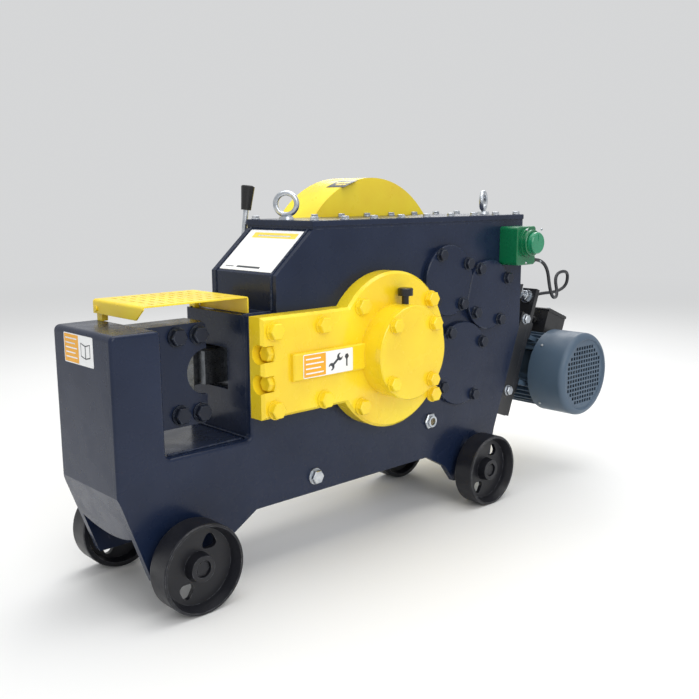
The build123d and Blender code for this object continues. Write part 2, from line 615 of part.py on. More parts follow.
for end, x in zip(("front", "rear"), WHEEL_X):
    save(wheel(x, -1), f"wheel_{end}_near")
    save(wheel(x, 1), f"wheel_{end}_far")

with BuildPart() as axles:
    spots = [(x, WHEEL_R) for x in WHEEL_X]
    rounds(spots, AXLE_R, WHEEL_IN + 42, -WHEEL_IN - 42)
    for y_far, y_near in ((WHEEL_IN + 3.7, HALF), (-HALF, -WHEEL_IN - 3.7)):
        rounds(spots, 20, y_far, y_near)
    for y_far, y_near in ((WHEEL_IN + 41, WHEEL_IN + 38.3), (-WHEEL_IN - 38.3, -WHEEL_IN - 41)):
        rounds(spots, 15.5, y_far, y_near)
save(axles, "axles")


# --- motor and its mounting -------------------------------------------------------------------------------
BODY_GAP = (MOTOR[0] - SLANT_FOOT[0]) * cos(SLANT) - (MOTOR[1] - SLANT_FOOT[1]) * sin(SLANT)
FEET_GAP, FOOT_U = 132.0, 78.0
BARREL_R, FIN_R = 94.0, 107.0
BARREL_Y = (-112.0, 62.0)
MOTOR_SHAFT_R = 19.0


def motor_block(u, n, y):
    """A block in the motor's turned frame: up the plate, towards the body, and along Y."""
    with BuildSketch(on_motor(y[1])) as base:
        with Locations(((u[0] + u[1]) / 2, (n[0] + n[1]) / 2)):
            Rectangle(u[1] - u[0], n[1] - n[0])
    extrude(base.sketch, amount=y[1] - y[0])


def motor_point(u, n):
    """Station (x, z) of a point in the motor's turned frame."""
    return (MOTOR[0] + u * sin(SLANT) - n * cos(SLANT), MOTOR[1] + u * cos(SLANT) + n * sin(SLANT))


def motor_profile(profile):
    """Revolve a (radius, y) profile about the motor's axis."""
    turned(MOTOR, profile)


with BuildPart() as barrel:
    rounds([MOTOR], BARREL_R, BARREL_Y[1], BARREL_Y[0])
    with BuildSketch(on_motor(BARREL_Y[1] - 6)) as fins:
        with PolarLocations(FIN_R - 10, 40, start_angle=4.5):
            Rectangle(20, 3.2)
    extrude(fins.sketch, amount=BARREL_Y[1] - BARREL_Y[0] - 12)
    with BuildSketch(on_motor(BARREL_Y[1])) as flats:
        with Locations((BARREL_R + 34, 0), (0, BARREL_R + 20)):
            Rectangle(70, 110)
        with Locations((0, BARREL_R + 20)):
            Rectangle(196, 50)
    extrude(flats.sketch, amount=BARREL_Y[1] - BARREL_Y[0], mode=Mode.SUBTRACT)
    bore = MOTOR_SHAFT_R + RUNNING
    motor_profile([(bore, 61), (104, 61), (104, 72), (92, 80), (60, 84), (46, 94), (bore, 94)])
    motor_profile([(bore, -111), (102, -111), (102, -122), (40, -128), (bore, -128)])
    rounds([MOTOR], bore, BARREL_Y[1], BARREL_Y[0], Mode.SUBTRACT)
    for u in (-FOOT_U, FOOT_U):
        motor_block((u - 20, u + 20), (FEET_GAP - 14, FEET_GAP), (-84, 44))
        motor_block((u - 20 if u > 0 else u + 8, u - 8 if u > 0 else u + 20), (60, FEET_GAP - 14), (-84, 44))
save(barrel, "motor_barrel")

RIM = 16.0
MESH_PITCH, MESH_HOLE, MESH_R = 12.5, 8.5, 84.0
with BuildPart() as fan_cover:
    with BuildSketch(Plane(origin=(MOTOR[0], 0, MOTOR[1]), x_dir=(1, 0, 0), z_dir=(0, 0, 1))):
        near, far = FAN_COVER_Y
        with BuildLine():
            Polyline((FAN_COVER_R - 3, far), (FAN_COVER_R, far), (FAN_COVER_R, near + RIM))
            RadiusArc((FAN_COVER_R, near + RIM), (FAN_COVER_R - RIM, near), RIM)
            Polyline((FAN_COVER_R - RIM, near), (FAN_COVER_R - RIM - 3, near + 5), (0, near + 5),
                     (0, near + 7.5), (FAN_COVER_R - RIM - 1, near + 7.5), (FAN_COVER_R - 3, near + RIM),
                     (FAN_COVER_R - 3, far))
        make_face()
    revolve(axis=Axis((MOTOR[0], 0, MOTOR[1]), (0, 1, 0)))
    steps = [MESH_PITCH * i for i in range(-6, 7)]
    with BuildSketch(across(FAN_COVER_Y[0] + 12)) as mesh:
        grid = [(a, b) for a in steps for b in steps if a * a + b * b < MESH_R ** 2]
        with Locations(*[(MOTOR[0] + a, MOTOR[1] + b) for a, b in grid]):
            Rectangle(MESH_HOLE, MESH_HOLE)
    extrude(mesh.sketch, amount=14, mode=Mode.SUBTRACT)
save(fan_cover, "fan_cover")

with BuildPart() as rotor:
    rounds([MOTOR], MOTOR_SHAFT_R, 236, -176)
    inside = MOTOR_SHAFT_R - 1
    motor_profile([(inside, -172), (30, -172), (30, -150), (96, -150), (96, -144), (inside, -144)])
    with BuildSketch(across(-149)) as blades:
        with Locations(MOTOR):
            with PolarLocations(60, 8):
                Rectangle(68, 3)
    extrude(blades.sketch, amount=34)
save(rotor, "motor_rotor")

GROOVES = (164.0, 187.0, 210.0)
GROOVE_TOP, GROOVE_FOOT, GROOVE_DEEP = 16.0, 11.0, 13.0


def rim_profile(radius, low):
    """Outer edge of a V belt wheel from its near face to its far one."""
    line = [(low, WHEEL_FACES[0]), (radius, WHEEL_FACES[0])]
    for y in GROOVES:
        line += [(radius, y - GROOVE_TOP / 2), (radius - GROOVE_DEEP, y - GROOVE_FOOT / 2)]
        line += [(radius - GROOVE_DEEP, y + GROOVE_FOOT / 2), (radius, y + GROOVE_TOP / 2)]
    return line + [(radius, WHEEL_FACES[1]), (low, WHEEL_FACES[1])]


with BuildPart() as flywheel:
    turned(SHAFT_1, rim_profile(FLYWHEEL_R, 204))
    turned(SHAFT_1, [(GEAR_SHAFT_R, 150), (48, 150), (52, 178), (204, 178), (204, 196), (52, 196), (48, 224),
                     (GEAR_SHAFT_R, 224)])
save(flywheel, "flywheel")

with BuildPart() as pulley:
    motor_profile(rim_profile(PULLEY_R, MOTOR_SHAFT_R))
save(pulley, "motor_pulley")


def loop(big, big_r, small, small_r):
    """Closed outline round two circles and their outer tangents."""
    run = sqrt((small[0] - big[0]) ** 2 + (small[1] - big[1]) ** 2)
    ahead = degrees(atan2(small[1] - big[1], small[0] - big[0]))
    spread = degrees(atan2(sqrt(run ** 2 - (big_r - small_r) ** 2), big_r - small_r))
    high, low = ahead + spread, ahead - spread
    with BuildLine() as outline:
        Line(polar(big, big_r, high), polar(small, small_r, high))
        ThreePointArc(polar(small, small_r, high), polar(small, small_r, ahead), polar(small, small_r, low))
        Line(polar(small, small_r, low), polar(big, big_r, low))
        ThreePointArc(polar(big, big_r, low), polar(big, big_r, ahead + 180), polar(big, big_r, high))
    return outline.line


def band(big, big_r, small, small_r, y_far, y_near, mode=Mode.ADD):
    """Extrude the outline round two circles between two stations."""
    with BuildSketch(across(y_far)) as face:
        make_face(loop(big, big_r, small, small_r))
    extrude(face.sketch, amount=y_far - y_near, mode=mode)


with BuildPart() as belts:
    for y in GROOVES:
        band(SHAFT_1, FLYWHEEL_R + 1, MOTOR, PULLEY_R + 1, y + 5, y - 5)
        band(SHAFT_1, FLYWHEEL_R - 9, MOTOR, PULLEY_R - 9, y + 5, y - 5, Mode.SUBTRACT)
save(belts, "drive_belts")

GUARD_SMALL = 96.0
SHEET = 2.5
STANDOFFS = [(760.0, 650.0), (1040.0, 650.0), (790.0, 400.0), (1140.0, 470.0)]
with BuildPart() as guard_back:
    band(GUARD_CENTRE, GUARD_R, MOTOR, GUARD_SMALL, GUARD_Y[0] + 3, GUARD_Y[0])
    rounds([SHAFT_1], 70, GUARD_Y[0] + 3, GUARD_Y[0], Mode.SUBTRACT)
    rounds([MOTOR], 60, GUARD_Y[0] + 3, GUARD_Y[0], Mode.SUBTRACT)
    rounds(STANDOFFS, 10, GUARD_Y[0], HALF)
save(guard_back, "guard_back")

with BuildPart() as guard_cover:
    band(GUARD_CENTRE, GUARD_R, MOTOR, GUARD_SMALL, GUARD_Y[1], GUARD_Y[0] + 3)
    chamfer(guard_cover.faces().sort_by(Axis.Y)[-1].edges(), 2)
    band(GUARD_CENTRE, GUARD_R - SHEET, MOTOR, GUARD_SMALL - SHEET, GUARD_Y[1] - SHEET, GUARD_Y[0] + 3,
         Mode.SUBTRACT)
save(guard_cover, "guard_cover")

LUG_U = (97.0, -102.0)
SCREW_U, SCREW_Y = 164.0, -86.0
with BuildPart() as motor_plate:
    motor_block((-168, 188), PLATE_GAP, (-HALF, HALF))
    for u in (-FOOT_U, FOOT_U):
        motor_block((u - 22, u + 22), (FEET_GAP, PLATE_GAP[0]), (-96, 60))
    for u in LUG_U:
        for y in ((-103, -91), (91, 103)):
            motor_block((u - 18, u + 18), (PLATE_GAP[1], 206), y)
    with BuildSketch(Plane(origin=(MOTOR[0], 0, MOTOR[1]), x_dir=(sin(SLANT), 0, cos(SLANT)),
                           z_dir=(-cos(SLANT), 0, sin(SLANT))).offset(PLATE_GAP[0])) as slot:
        with Locations((SCREW_U, -SCREW_Y), (SCREW_U, SCREW_Y)):
            Circle(9)
    extrude(slot.sketch, amount=PLATE_GAP[1] - PLATE_GAP[0], mode=Mode.SUBTRACT)
save(motor_plate, "motor_plate")

along = Plane(origin=(MOTOR[0] + SCREW_U * sin(SLANT), SCREW_Y, MOTOR[1] + SCREW_U * cos(SLANT)),
              x_dir=(0, 1, 0), z_dir=(-cos(SLANT), 0, sin(SLANT)))
WALL_GAP = (MOTOR[0] + SCREW_U * sin(SLANT) - BOX_REAR) / cos(SLANT)
LUG_END = WALL_GAP - 16
with BuildPart() as brackets:
    for leg, web in (((-HALF, -103), (-103, -60)), ((103, HALF), (60, 103))):
        motor_block((-170, 112), (PLATE_GAP[1], BODY_GAP), leg)
        motor_block((-170, 64), (BODY_GAP - 8, BODY_GAP), web)
    high, low = motor_point(SCREW_U + 20, LUG_END), motor_point(SCREW_U - 20, LUG_END)
    slab([(BOX_REAR, high[1] + 2), high, low, (BOX_REAR, low[1])], SCREW_Y + 10, SCREW_Y - 20)
save(brackets, "motor_brackets")

with BuildPart() as bracket_bolts:
    seats = [motor_point(u, 197) for u in LUG_U]
    bolts(across(-HALF), seats, 14, 0)
    bolts(outward(HALF), [(-x, z) for x, z in seats], 14, 0)
    bolts(across(-HALF), [DRAIN], 18, 16)
save(bracket_bolts, "plated_bolts")

with BuildPart() as screw:
    stud(along.offset(136), [(0, 0)], 8, WALL_GAP - 136 - 16)
    hexagons(along.offset(PLATE_GAP[0] - 18), [(0, 0)], 26, 14)
    stud(along.offset(PLATE_GAP[0] - 4), [(0, 0)], 18, 4)
    stud(along.offset(PLATE_GAP[1]), [(0, 0)], 18, 4)
    hexagons(along.offset(PLATE_GAP[1] + 4), [(0, 0)], 26, 14)
    hexagons(along.offset(WALL_GAP - 34), [(0, 0)], 28, 13)
    stud(along.offset(WALL_GAP - 21), [(0, 0)], 17, 5)
save(screw, "tension_screw")


BOX_U, BOX_N, BOX_Y = (96.0, 158.0), (-46.0, 46.0), (-78.0, 18.0)
with BuildPart() as terminal_box:
    motor_block((BOX_U[1], BOX_U[1] + 9), (BOX_N[0] - 2, BOX_N[1] + 2), (BOX_Y[0] - 2, BOX_Y[1] + 2))
    chamfer(terminal_box.edges().filter_by(Axis.Y), 3)
    motor_block(BOX_U, BOX_N, BOX_Y)
save(terminal_box, "terminal_box")


# --- blade guard ------------------------------------------------------------------------------------------
HOOD_X, HOOD_Y, HOOD_TOP = (84.0, 326.0), (-85.0, 105.0), 587.0
HOOD_THICK = 3.0
HINGE = (92.0, 568.0)  # y and z of the hood's hinge pin
HINGE_R = 5.0
LEG_FOOT = 559.0  # the hood swings clear of the housing above this height
with BuildPart() as hood:
    box(HOOD_X, HOOD_Y, (552.5, HOOD_TOP))
    fillet(hood.edges().filter_by(Axis.Y).group_by(Axis.Z)[-1], 6)
    inside = (HOOD_X[0] + HOOD_THICK, HOOD_X[1] - HOOD_THICK)
    box(inside, HOOD_Y, (550, HOOD_TOP - HOOD_THICK), Mode.SUBTRACT)
    with BuildSketch(Plane.YZ.offset(HOOD_X[0] - 1)) as left_leg:
        with BuildLine():
            Polyline((-90, 580), (-84, 580), (-58, LEG_FOOT), (HOOD_Y[1] + 1, LEG_FOOT),
                     (HOOD_Y[1] + 1, 550), (-90, 550), close=True)
        make_face()
    extrude(left_leg.sketch, amount=HOOD_THICK + 2, mode=Mode.SUBTRACT)
    box((HOOD_X[1] - 10, HOOD_X[1] + 1), (HINGE[0] - 8, HOOD_Y[1] + 1), (550, LEG_FOOT), Mode.SUBTRACT)
    with BuildSketch(Plane.YZ.offset(HOOD_X[0] - 1)) as pin_hole:
        with Locations(HINGE):
            Circle(HINGE_R + RUNNING)
    extrude(pin_hole.sketch, amount=HOOD_X[1] - HOOD_X[0] + 2, mode=Mode.SUBTRACT)
    with BuildSketch(Plane.XY.offset(HOOD_TOP)) as slots:
        with Locations((sum(HOOD_X) / 2, sum(HOOD_Y) / 2)):
            with GridLocations(22, 34, 9, 5):
                SlotOverall(22, 4, rotation=90)
    extrude(slots.sketch, amount=-HOOD_THICK - 1, mode=Mode.SUBTRACT)
save(hood, "blade_guard")

with BuildPart() as hinge:
    with BuildSketch(Plane.YZ.offset(HOOD_X[0] - 3)) as pin:
        with Locations(HINGE):
            Circle(HINGE_R)
    extrude(pin.sketch, amount=HOOD_X[1] - HOOD_X[0] + 6)
    box((90, 103), (HINGE[0] - 10, HINGE[0] + 10), (COLUMN_TOP, HINGE[1] + 9))
    box((308, 321), (HINGE[0] - 10, HINGE[0] + 10), (HOUSING_TOP, HINGE[1] + 9))
save(hinge, "guard_hinge")


# --- switch and cable -------------------------------------------------------------------------------------
SWITCH_X, SWITCH_Z, SWITCH_OUT = (1117.0, 1196.0), (607.0, 705.0), 167.0
DIAL = (1157.0, 664.0)
with BuildPart() as switch:
    box(SWITCH_X, (-SWITCH_OUT, -HALF), SWITCH_Z)
    fillet(switch.edges().filter_by(Axis.Y), 8)
    fillet(switch.faces().sort_by(Axis.Y)[0].edges(), 3)
    rounds([DIAL], 37, -SWITCH_OUT, -SWITCH_OUT - 9)
    rounds([DIAL], 33, -SWITCH_OUT - 9, -SWITCH_OUT - 21)
    chamfer(switch.faces().sort_by(Axis.Y)[0].edges(), 2)
save(switch, "switch_box")

with BuildPart() as knob:
    rounds([DIAL], 27, -SWITCH_OUT - 21.4, -SWITCH_OUT - 36)
    chamfer(knob.faces().sort_by(Axis.Y)[0].edges(), 2.5)
    box((DIAL[0] - 2, DIAL[0] + 2), (-SWITCH_OUT - 37.2, -SWITCH_OUT - 35), (DIAL[1] + 6, DIAL[1] + 22))
save(knob, "switch_knob")


GLAND_R, CABLE_R = 9.0, 4.5
SWITCH_GLAND = (SWITCH_X[1], -145.0, 616.0)
GLAND_U, GLAND_Y = 127.0, -40.0
terminal_mouth = motor_point(GLAND_U, BOX_N[1])
switch_side = Plane(origin=SWITCH_GLAND, x_dir=(0, 1, 0), z_dir=(1, 0, 0))
terminal_side = Plane(origin=(terminal_mouth[0], GLAND_Y, terminal_mouth[1]), x_dir=(0, 1, 0),
                      z_dir=(-cos(SLANT), 0, sin(SLANT)))
GLAND_LONG = 24.0
with BuildPart() as glands:
    for side in (switch_side, terminal_side):
        hexagons(side, [(0, 0)], 2 * GLAND_R, 10)
        stud(side.offset(10), [(0, 0)], GLAND_R - 1, GLAND_LONG - 10)
save(glands, "cable_glands")

lead = motor_point(GLAND_U, BOX_N[1] + GLAND_LONG)
last = motor_point(GLAND_U, BOX_N[1] + GLAND_LONG + 56)
ROUTE = [
    (SWITCH_GLAND[0] + GLAND_LONG, -145, 616), (1282, -145, 616), (1292, -155, 512), (1352, -140, 505),
    (1358, -120, 570), (1425, -125, 576), (1432, -110, 514), (1330, -60, 510), (last[0], GLAND_Y, last[1]),
    (lead[0], GLAND_Y, lead[1]),
]


def bend_radii(points):
    """Radius at each inner point: 0.45 of the shorter run over the tangent of half the turn."""
    radii = []
    for a, b, c in zip(points, points[1:], points[2:]):
        first, second = Vector(*b) - Vector(*a), Vector(*c) - Vector(*b)
        half = radians(first.get_angle(second)) / 2
        radii.append(0.45 * min(first.length, second.length) / tan(half))
    return radii


BENDS = bend_radii(ROUTE)
with BuildPart() as cable:
    with BuildLine() as route:
        FilletPolyline(*ROUTE, radius=BENDS)
    with BuildSketch(Plane(origin=ROUTE[0], z_dir=route.line % 0)):
        Circle(CABLE_R)
    sweep()
save(cable, "motor_cable")
long = sum(edge.length for edge in route.edges())
print("cable bends", [round(r, 1) for r in BENDS], "length", round(long, 1))
print("cable volume over section times length", round(cable.part.volume / (pi * CABLE_R ** 2 * long), 4))
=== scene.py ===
"""Rebar cutter: finishes, motor cable, labels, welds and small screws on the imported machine, in metres."""

from __future__ import annotations

import json
import logging
import math
from dataclasses import dataclass, field
from enum import Enum
from typing import Any, Sequence

import bmesh
import bpy
from mathutils import Matrix, Vector

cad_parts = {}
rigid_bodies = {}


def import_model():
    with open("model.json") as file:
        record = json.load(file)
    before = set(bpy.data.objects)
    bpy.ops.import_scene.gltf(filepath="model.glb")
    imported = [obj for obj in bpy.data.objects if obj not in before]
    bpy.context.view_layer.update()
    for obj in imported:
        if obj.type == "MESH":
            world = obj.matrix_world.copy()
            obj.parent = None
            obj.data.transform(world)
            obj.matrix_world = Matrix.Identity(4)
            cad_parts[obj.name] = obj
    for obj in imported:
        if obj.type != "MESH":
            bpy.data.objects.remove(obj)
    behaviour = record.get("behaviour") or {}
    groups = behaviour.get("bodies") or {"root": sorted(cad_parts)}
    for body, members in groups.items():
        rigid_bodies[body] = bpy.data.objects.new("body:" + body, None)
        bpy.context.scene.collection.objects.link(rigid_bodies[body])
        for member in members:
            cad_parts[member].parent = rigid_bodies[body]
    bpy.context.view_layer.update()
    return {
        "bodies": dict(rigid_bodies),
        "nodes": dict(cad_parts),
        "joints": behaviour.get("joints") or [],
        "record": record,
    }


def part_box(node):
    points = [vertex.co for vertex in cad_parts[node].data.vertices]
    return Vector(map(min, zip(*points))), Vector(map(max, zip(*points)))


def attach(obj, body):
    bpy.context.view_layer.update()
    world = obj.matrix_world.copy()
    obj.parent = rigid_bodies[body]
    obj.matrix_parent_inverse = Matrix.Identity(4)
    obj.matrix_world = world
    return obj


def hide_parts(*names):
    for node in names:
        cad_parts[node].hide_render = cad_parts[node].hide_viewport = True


LOG = logging.getLogger("rebar_cutter")
MM = 0.001
MIDDLE_X, MIDDLE_Y = 752.5, 18.3  # the row origin in stations, which run from the column's front face, in mm
SKY, SKY_STRENGTH = "f4f5f6", 0.74  # the studio's pale surroundings
Point = tuple[float, float, float]
Point2 = tuple[float, float]


def at(x: float, y: float, z: float) -> Vector:
    """The place in the row frame of a station in mm."""
    return Vector(((x - MIDDLE_X) * MM, (y - MIDDLE_Y) * MM, z * MM))


def linear(code: str) -> tuple[float, float, float, float]:
    """Turn an sRGB hex colour into linear light.

    Args:
        code: Six hex digits.

    Returns:
        Linear red, green, blue and an alpha of one.
    """
    parts = [int(code[i:i + 2], 16) / 255 for i in (0, 2, 4)]
    light = [p / 12.92 if p <= 0.04045 else ((p + 0.055) / 1.055) ** 2.4 for p in parts]
    return (light[0], light[1], light[2], 1.0)


def add(tree: bpy.types.NodeTree, kind: str, wires: dict[Any, Any] | None = None, **settings: Any) -> bpy.types.Node:
    """Add a node with its settings, values and links.

    Args:
        tree: The node tree that gets the node.
        kind: The node's type name.
        wires: For each input, by name or number, a value or the output socket that feeds it.
        **settings: Properties of the node itself.

    Returns:
        The new node.
    """
    node = tree.nodes.new(kind)
    for name, value in settings.items():
        setattr(node, name, value)
    for socket, value in (wires or {}).items():
        if isinstance(value, bpy.types.NodeSocket):
            tree.links.new(value, node.inputs[socket])
        else:
            node.inputs[socket].default_value = value
    return node


# --- finishes -----------------------------------------------------------------------------------------------


@dataclass(frozen=True)
class Finish:
    """A surface finish: typical optical values, and what its subclass paints over them."""

    name: str
    colour: str
    roughness: float
    metallic: float = 0.0
    coat: float = 0.0
    ior: float = 1.5
    edge: float = 1.2  # mm, how far a corner's highlight wraps round it

    def build(self) -> bpy.types.Material:
        """Make the material: shader, pattern and output."""
        material = bpy.data.materials.new(self.name)
        material.use_nodes = True
        tree = material.node_tree
        tree.nodes.clear()
        shader = add(tree, "ShaderNodeBsdfPrincipled", {
            "Base Color": linear(self.colour), "Roughness": self.roughness, "Metallic": self.metallic,
            "Coat Weight": self.coat, "Coat Roughness": 0.08})
        if not self.metallic:
            shader.inputs["IOR"].default_value = self.ior
        add(tree, "ShaderNodeOutputMaterial", {"Surface": shader.outputs["BSDF"]})
        self.pattern(tree, shader)
        return material

    def pattern(self, tree: bpy.types.NodeTree, shader: bpy.types.Node) -> None:
        """Draw the finish's own pattern; a plain finish only rounds its corners."""
        tree.links.new(self.rounded(tree), shader.inputs["Normal"])

    def rounded(self, tree: bpy.types.NodeTree) -> bpy.types.NodeSocket:
        """A normal that rounds sharp corners by the finish's edge radius."""
        return add(tree, "ShaderNodeBevel", {"Radius": self.edge * MM}, samples=4).outputs["Normal"]

    def cloud(self, tree: bpy.types.NodeTree, size: float, detail: float = 3.0,
              stretch: Point = (1.0, 1.0, 1.0)) -> bpy.types.NodeSocket:
        """Noise over the piece.

        Args:
            tree: The material's tree.
            size: Typical width of a patch, in mm.
            detail: Octaves of finer noise in it.
            stretch: Squeeze along each axis.

        Returns:
            The noise's grey value.
        """
        place = add(tree, "ShaderNodeTexCoord").outputs["Object"]
        turned = add(tree, "ShaderNodeMapping", {"Vector": place, "Scale": stretch}).outputs["Vector"]
        noise = add(tree, "ShaderNodeTexNoise", {"Vector": turned, "Scale": 1 / (size * MM), "Detail": detail})
        return noise.outputs["Fac"]

    def spread(self, tree: bpy.types.NodeTree, grey: bpy.types.NodeSocket, low: float, high: float,
               start: float = 0.3, end: float = 0.7) -> bpy.types.NodeSocket:
        """Map a grey value from start..end to low..high."""
        steps = {"Value": grey, "From Min": start, "From Max": end, "To Min": low, "To Max": high}
        return add(tree, "ShaderNodeMapRange", steps).outputs["Result"]

    def blend(self, tree: bpy.types.NodeTree, share: bpy.types.NodeSocket, under: Any,
              over: Any) -> bpy.types.NodeSocket:
        """Mix two colours by a share from 0 to 1."""
        mix = add(tree, "ShaderNodeMix", data_type="RGBA")
        for socket, value in ((0, share), (6, under), (7, over)):
            if isinstance(value, bpy.types.NodeSocket):
                tree.links.new(value, mix.inputs[socket])
            else:
                mix.inputs[socket].default_value = value
        return mix.outputs[2]

    def edges(self, tree: bpy.types.NodeTree, radius: float, gain: float = 9.0) -> bpy.types.NodeSocket:
        """A share that rises to 1 on outside and inside corners.

        Args:
            tree: The material's tree.
            radius: How far from the corner it reaches, in mm.
            gain: How hard the share rises.

        Returns:
            The share.
        """
        wide = add(tree, "ShaderNodeBevel", {"Radius": radius * MM}, samples=4).outputs["Normal"]
        flat = add(tree, "ShaderNodeNewGeometry").outputs["Normal"]
        turn = add(tree, "ShaderNodeVectorMath", {0: wide, 1: flat}, operation="DOT_PRODUCT").outputs["Value"]
        away = add(tree, "ShaderNodeMath", {0: 1.0, 1: turn}, operation="SUBTRACT").outputs["Value"]
        return add(tree, "ShaderNodeMath", {0: away, 1: gain}, operation="MULTIPLY", use_clamp=True).outputs["Value"]

    def bump(self, tree: bpy.types.NodeTree, shader: bpy.types.Node, height: bpy.types.NodeSocket,
             depth: float) -> None:
        """Raise the surface by a height pattern, depth in mm, over rounded corners."""
        wires = {"Height": height, "Distance": depth * MM, "Strength": 1.0, "Normal": self.rounded(tree)}
        tree.links.new(add(tree, "ShaderNodeBump", wires).outputs["Normal"], shader.inputs["Normal"])


@dataclass(frozen=True)
class Enamel(Finish):
    """Sprayed gloss enamel on plate or casting: orange peel, cloudy tone, and corners tinted as worn paint; where the
    tint is paler it is also a painted highlight on the edges.
    """

    corner_scuff_and_highlight_colour: str = "8a93a0"  # corner colour: the film worn thin, and, where paler than the paint, a painted highlight
    corner_scuff_and_highlight: float = 0.35
    peel: float = 4.0  # mm between the ripples of the film; real ripples are finer and would not show
    depth: float = 0.05

    def pattern(self, tree: bpy.types.NodeTree, shader: bpy.types.Node) -> None:
        """Cloudy colour, corners tinted for wear and as a painted highlight, uneven gloss and orange peel."""
        base = linear(self.colour)
        faded = tuple(min(1.0, channel * 1.3 + 0.004) for channel in base[:3]) + (1.0,)
        film = self.blend(tree, self.spread(tree, self.cloud(tree, 140), 0.0, 0.8), base, faded)
        # Painted highlight and wear: in noisy patches the corners, inside and outside, mix towards the corner colour;
        # a pale corner colour paints the highlight of a rounded edge.
        scuff_and_highlight_patches = self.spread(tree, self.cloud(tree, 9, 5), 0.0, self.corner_scuff_and_highlight, 0.42, 0.72)
        corner_scuff_and_highlight_share = add(tree, "ShaderNodeMath", {0: self.edges(tree, 1.6), 1: scuff_and_highlight_patches}, operation="MULTIPLY")
        film = self.blend(tree, corner_scuff_and_highlight_share.outputs["Value"], film, linear(self.corner_scuff_and_highlight_colour))
        tree.links.new(film, shader.inputs["Base Color"])
        gloss = self.spread(tree, self.cloud(tree, 45, 4), self.roughness * 0.75, self.roughness * 1.35)
        tree.links.new(gloss, shader.inputs["Roughness"])
        self.bump(tree, shader, self.cloud(tree, self.peel, 2), self.depth)


@dataclass(frozen=True)
class Metal(Finish):
    """Bare or plated metal: cloudy tone and grinding lines along one axis."""

    tint: str = "9aa0a6"
    grain: float = 1.2  # mm between grinding lines
    lines: Point = (1.0, 1.0, 1.0)
    depth: float = 0.02

    def pattern(self, tree: bpy.types.NodeTree, shader: bpy.types.Node) -> None:
        """Two close tones in clouds, uneven polish and fine lines."""
        tone = self.spread(tree, self.cloud(tree, 14, 5), 0.0, 1.0)
        tree.links.new(self.blend(tree, tone, linear(self.colour), linear(self.tint)), shader.inputs["Base Color"])
        scratch = self.cloud(tree, self.grain, 3, self.lines)
        polish = self.spread(tree, scratch, self.roughness * 0.7, self.roughness * 1.4)
        tree.links.new(polish, shader.inputs["Roughness"])
        self.bump(tree, shader, scratch, self.depth)


@dataclass(frozen=True)
class Moulded(Finish):
    """Moulded plastic or rubber: an even colour with a fine spark-eroded grain."""

    grain: float = 1.0  # mm; real grain is 0.3 mm and would not show
    depth: float = 0.04

    def pattern(self, tree: bpy.types.NodeTree, shader: bpy.types.Node) -> None:
        """Slight cloudiness, handling marks and grain."""
        base = linear(self.colour)
        pale = tuple(min(1.0, channel * 1.25 + 0.003) for channel in base[:3]) + (1.0,)
        tree.links.new(self.blend(tree, self.cloud(tree, 30), base, pale), shader.inputs["Base Color"])
        touched = self.spread(tree, self.cloud(tree, 22, 4), self.roughness * 0.8, self.roughness * 1.2)
        tree.links.new(touched, shader.inputs["Roughness"])
        self.bump(tree, shader, self.cloud(tree, self.grain, 2), self.depth)


@dataclass(frozen=True)
class Clear(Finish):
    """Clear acrylic of the oil sight glass, with the amber of the oil behind it."""

    def pattern(self, tree: bpy.types.NodeTree, shader: bpy.types.Node) -> None:
        """Let light through."""
        shader.inputs["Transmission Weight"].default_value = 0.85


@dataclass(frozen=True)
class StudioFloor(Finish):
    """A pale floor that turns as pale as the sky away from the machine, so no horizon shows."""

    near: float = 2.2  # m from the middle, where it starts to turn
    far: float = 7.0  # m, where floor and sky are the same

    def pattern(self, tree: bpy.types.NodeTree, shader: bpy.types.Node) -> None:
        """Fade from the lit floor to the sky's own brightness."""
        place = add(tree, "ShaderNodeTexCoord").outputs["Object"]
        away = add(tree, "ShaderNodeVectorMath", {0: place}, operation="LENGTH").outputs["Value"]
        share = self.spread(tree, away, 0.0, 1.0, self.near, self.far)
        sky = add(tree, "ShaderNodeEmission", {"Color": linear(SKY), "Strength": SKY_STRENGTH})
        mixed = add(tree, "ShaderNodeMixShader", {"Fac": share, 1: shader.outputs["BSDF"],
                                                  2: sky.outputs["Emission"]})
        end = next(node for node in tree.nodes if node.bl_idname == "ShaderNodeOutputMaterial")
        tree.links.new(mixed.outputs["Shader"], end.inputs["Surface"])


